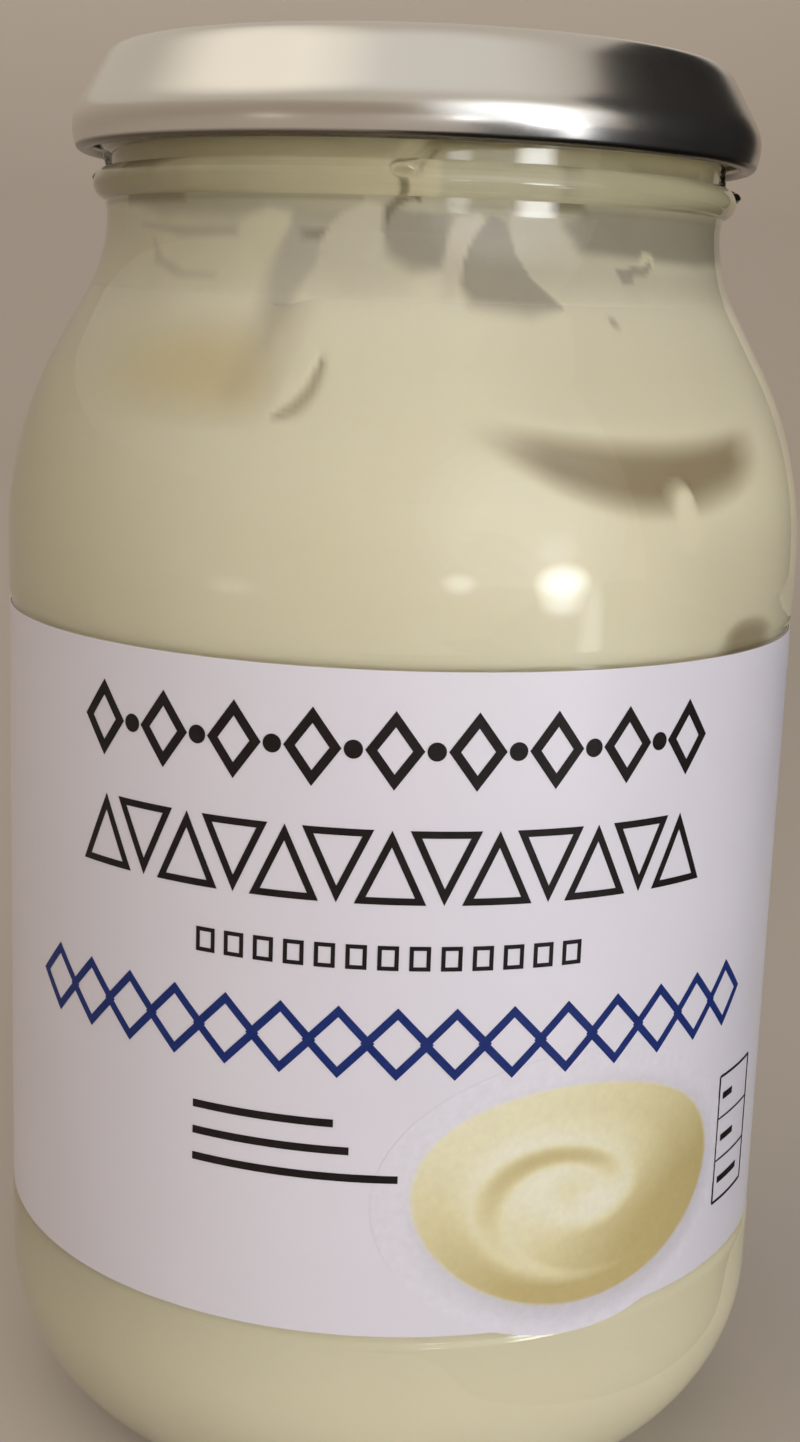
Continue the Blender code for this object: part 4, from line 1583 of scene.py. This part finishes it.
    def swirl_colours(self, x: np.ndarray, y: np.ndarray) -> np.ndarray:
        """Works out the swirl's printed colours on the unit disc.

        Args:
            x: The places across, from -1 to 1.
            y: The places up, from -1 to 1.

        Returns:
            One colour for each place.
        """
        paper = (np.array(self.paper.colour) + np.array(self.paper.shade)) / 2 / 0.97
        shadow = np.array((0.50, 0.48, 0.53))
        shades = np.array(((0.56, 0.45, 0.20), (0.78, 0.70, 0.42), (0.85, 0.80, 0.56), (0.93, 0.90, 0.80)))

        def rim(turn: np.ndarray) -> np.ndarray:
            """Gives the swirl's edge at a turn about its middle."""
            return 0.80 * (1 + 0.04 * np.cos(2 * turn + 0.6) + 0.02 * np.cos(3 * turn - 1))

        def dome(px: np.ndarray, py: np.ndarray) -> np.ndarray:
            """Gives the swirl's height: a soft dome with one fold wound into its peak."""
            far = np.hypot(px, py)
            turn = np.arctan2(py, px)
            run = np.clip(far / rim(turn), 0, 1)
            fold = (turn / math.tau - 1.15 * run**0.8 + 0.1) % 1
            ridge = smooth(fold / 0.72) * smooth((1 - fold) / 0.28)
            return 0.62 * (1 - run**3.2) + 0.20 * ridge * smooth(run * 2.5) * smooth((1 - run) * 3)

        turn = np.arctan2(y, x)
        far = np.hypot(x, y)
        inside = smooth((rim(turn) - far) / 0.03 + 0.5)
        step = 0.02
        slope_x = (dome(x + step, y) - dome(x - step, y)) / (2 * step)
        slope_y = (dome(x, y + step) - dome(x, y - step)) / (2 * step)
        lit = (1.0 + 0.42 * slope_x - 0.50 * slope_y) / np.sqrt(1 + slope_x**2 + slope_y**2)
        level = np.clip(lit - 0.1, 0, 1.3) / 1.3
        cream = np.stack([np.interp(level, (0.0, 0.42, 0.66, 1.0), shades[:, c]) for c in range(3)], 1)
        cast = np.hypot(x - 0.05, y + 0.08)
        shade = smooth((0.95 - cast) / 0.28) * smooth((1.0 - far) / 0.12) * 0.6
        ground = paper + (shadow - paper) * shade[:, None]
        return ground + (cream - ground) * inside[:, None]

    def make_paper(self) -> bpy.types.Object:
        """Makes the sheet, its free end lapped over the other at the back."""
        half = math.pi * self.radius
        sheet = self.flat_grid(-half, half + self.overlap, self.bottom, self.top, 300, 24)
        sheet.name = "paper_label"
        sheet.data.name = "paper_label"
        self.thicken(sheet, self.sheet, 0)

        def lift(x: np.ndarray) -> np.ndarray:
            """Raises the lapped end over the sheet below it."""
            return (self.sheet + self.seam_lift) * smooth((x - half + 3 * MM) / (3 * MM))

        self.wrap(sheet, lift)
        sheet.data.materials.append(self.paper.build())
        Bench.pick(sheet)
        bpy.ops.object.shade_smooth_by_angle(angle=math.radians(30))
        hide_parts("label")
        return sheet

    def build(self) -> list[bpy.types.Object]:
        """Makes the paper and everything printed on it."""
        dark = [figure for plan in self.borders for figure in self.border(plan)]
        dark += [self.rule(self.rules_start, end, y, self.rule_width) for end, y in self.rules]
        dark += self.table(*self.box, self.box_rows)
        dark += self.table(*self.side_table, self.side_rows)
        for k in range(self.back_rules):
            end = self.back_start + self.back_reach[0] + self.back_reach[1] * math.sin(1.7 * k)
            level = self.back_top - self.back_pitch * k
            dark.append(self.rule(self.back_start, end, level, self.entry_width))
        blue = self.border(self.blue_border)
        made = [
            self.make_paper(),
            self.printed("dark_print", dark, self.charcoal),
            self.printed("blue_print", blue, self.blue),
            self.swirl(),
        ]
        for piece in made:
            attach(piece, "root")
        return made


@dataclass(frozen=True)
class Lamp:
    """A soft oval lamp that faces the jar, brighter towards its middle."""

    title: str
    azimuth: float
    elevation: float
    distance: float
    width: float
    height: float
    radiance: float
    colour: Colour = (1.0, 1.0, 1.0)
    mirrored: bool = True


@dataclass(frozen=True)
class Card:
    """A dark card that only mirrors see, standing up to face the jar or lying flat."""

    title: str
    azimuth: float
    away: float
    rise: float
    width: float
    reach: float
    upright: bool = False


@dataclass
class Studio:
    """The camera, the lamps and the plain floor."""

    eye: tuple[float, float, float] = (0.0, -206.08 * MM, 118.3 * MM)
    pitch: float = 12.047
    yaw: float = 0.108
    roll: float = 2.014
    lens: float = 48.80
    sensor: float = 36.0
    middle: tuple[float, float, float] = (0.0, 0.0, 100 * MM)
    sky: Colour = (1.0, 0.90, 0.77)
    sky_strength: float = 0.53
    floor_radius: float = 1.2
    wall_radius: float = 1.8
    wall_height: float = 0.62
    lamps: tuple[Lamp, ...] = (
        Lamp("window", 33, 11, 0.95, 0.85, 0.62, 1.55, (0.90, 0.95, 1.0)),
        Lamp("window_core", 43, -5, 0.62, 0.14, 0.09, 13.0, (0.97, 0.99, 1.0)),
        Lamp("window_top", 41, 3, 0.62, 0.11, 0.08, 2.0, (0.97, 0.99, 1.0)),
        Lamp("window_foot", 50, -12, 0.30, 0.034, 0.06, 3.0, (0.97, 0.99, 1.0)),
        Lamp("small_window", 15, -5, 0.62, 0.085, 0.045, 5.0, (0.97, 0.99, 1.0)),
        Lamp("left_window", -46, -9, 0.7, 0.16, 0.06, 1.8, (1.0, 0.97, 0.92)),
        Lamp("ceiling", -78, 54, 1.1, 1.1, 0.8, 0.50, (1.0, 0.93, 0.78)),
        Lamp("ceiling_front", 8, 64, 1.1, 1.3, 0.7, 0.21, (0.93, 0.97, 1.0)),
        Lamp("front", 20, -3, 1.1, 0.9, 0.6, 3.7, (0.96, 0.98, 1.0), mirrored=False),
    )
    layers: int = 5
    cards: tuple[Card, ...] = (
        Card("studio_card", 107, 0.534, 0.233, 0.92, 0.92, upright=True),
        Card("studio_mat_right", 84, 0.62, 0.004, 1.0, 0.95),
        Card("studio_mat_front", 60, 0.30, 0.003, 0.36, 0.5),
    )
    # the wall is painted lighter from 0.2 m up: painted light
    floor_paint: PlainPaint = PlainPaint("floor_paint", (0.61, 0.555, 0.51), (0.80, 0.74, 0.685))
    card_paint: PlainPaint = PlainPaint("card_paint", (0.018, 0.018, 0.02), (0.018, 0.018, 0.02))

    def make_camera(self) -> None:
        """Makes the camera at the photograph's place and turn."""
        pitch, yaw, roll = (math.radians(a) for a in (self.pitch, self.yaw, self.roll))
        ahead = Vector((math.sin(yaw) * math.cos(pitch), math.cos(yaw) * math.cos(pitch), -math.sin(pitch)))
        right = Vector((math.cos(yaw), -math.sin(yaw), 0))
        up = right.cross(ahead)
        across = right * math.cos(roll) + up * math.sin(roll)
        upwards = up * math.cos(roll) - right * math.sin(roll)
        data = bpy.data.cameras.new("camera")
        data.sensor_width = self.sensor
        data.lens = self.lens
        data.clip_start = 0.01
        camera = bpy.data.objects.new("camera", data)
        bpy.context.scene.collection.objects.link(camera)
        turn = Matrix((across, upwards, -ahead)).transposed()
        camera.matrix_world = Matrix.Translation(self.eye) @ turn.to_4x4()
        bpy.context.scene.camera = camera

    def make_lamp(self, plan: Lamp) -> None:
        """Makes one lamp as nested ovals, out of the camera's own sight."""
        a, e = math.radians(plan.azimuth), math.radians(plan.elevation)
        out = Vector((math.sin(a) * math.cos(e), -math.cos(a) * math.cos(e), math.sin(e)))
        for k in range(self.layers):
            size = 1.3 - 0.9 * k / self.layers
            data = bpy.data.lights.new(f"{plan.title}_{k}", "AREA")
            data.shape = "ELLIPSE"
            data.size = plan.width * size
            data.size_y = plan.height * size
            data.color = plan.colour
            oval = math.pi / 4 * data.size * data.size_y
            data.energy = plan.radiance / self.layers * math.pi * oval
            lamp = bpy.data.objects.new(f"{plan.title}_{k}", data)
            lamp.location = Vector(self.middle) + out * (plan.distance - 0.004 * k)
            lamp.rotation_euler = out.to_track_quat("Z", "Y").to_euler()
            lamp.visible_camera = False
            lamp.visible_glossy = plan.mirrored
            bpy.context.scene.collection.objects.link(lamp)

    def make_floor(self) -> None:
        """Makes the pale floor, swept up all round into a low wall."""
        bend = self.wall_radius - self.floor_radius
        sweep = arc((self.floor_radius, bend), bend, -90, 0, 24)
        outline = [(0, 0)] + sweep + [(self.wall_radius, self.wall_height)]
        floor = Bench.turned("studio_floor", outline, 96)
        Bench.edit()
        bpy.ops.mesh.normals_make_consistent(inside=True)
        Bench.leave()
        floor.data.materials.append(self.floor_paint.build())

    def make_card(self, plan: Card, paint: bpy.types.Material) -> None:
        """Makes one dark card. A flat one takes no light from the jar."""
        Bench.clear_selection()
        bpy.ops.mesh.primitive_plane_add(size=1, location=(0, 0, 0))
        card = Bench.name(plan.title)
        Bench.edit()
        bpy.ops.transform.resize(value=(plan.width, plan.reach, 1))
        Bench.leave()
        a = math.radians(plan.azimuth)
        card.location = (plan.away * math.sin(a), -plan.away * math.cos(a), plan.rise)
        if plan.upright:
            out = Vector(card.location) - Vector(self.middle)
            card.rotation_euler = out.to_track_quat("Z", "Y").to_euler()
        else:
            card.rotation_euler = (0, 0, a)
        card.data.materials.append(paint)
        card.visible_camera = False
        card.visible_transmission = False
        card.visible_diffuse = plan.upright
        card.visible_shadow = plan.upright

    def build(self) -> None:
        """Sets up the studio."""
        self.make_camera()
        for plan in self.lamps:
            self.make_lamp(plan)
        self.make_floor()
        paint = self.card_paint.build()
        for plan in self.cards:
            self.make_card(plan, paint)
        world = bpy.data.worlds.new("studio_world")
        world.use_nodes = True
        sky = world.node_tree.nodes["Background"]
        sky.inputs["Color"].default_value = (*self.sky, 1)
        sky.inputs["Strength"].default_value = self.sky_strength
        bpy.context.scene.world = world
        bpy.context.scene.view_settings.view_transform = "Standard"


def report(title: str, pieces: Iterable[bpy.types.Object]) -> None:
    """Logs what each piece of a sub-assembly is made of."""
    for piece in pieces:
        LOG.info("%s: %s, %d faces", title, piece.name, len(piece.data.polygons))


def main() -> None:
    """Builds the studio and the jar's sub-assemblies, and logs each piece's faces."""
    logging.basicConfig(level=logging.INFO, format="%(message)s", stream=sys.stdout)
    Studio().build()
    report("glass", GlassJar().build())
    report("filling", Filling().build())
    report("smears", Smears().build())
    report("label", WrapLabel().build())
    report("lid", TwistOffLid().build())
    Bench.clear_selection()


if __name__ == "__main__":
    main()
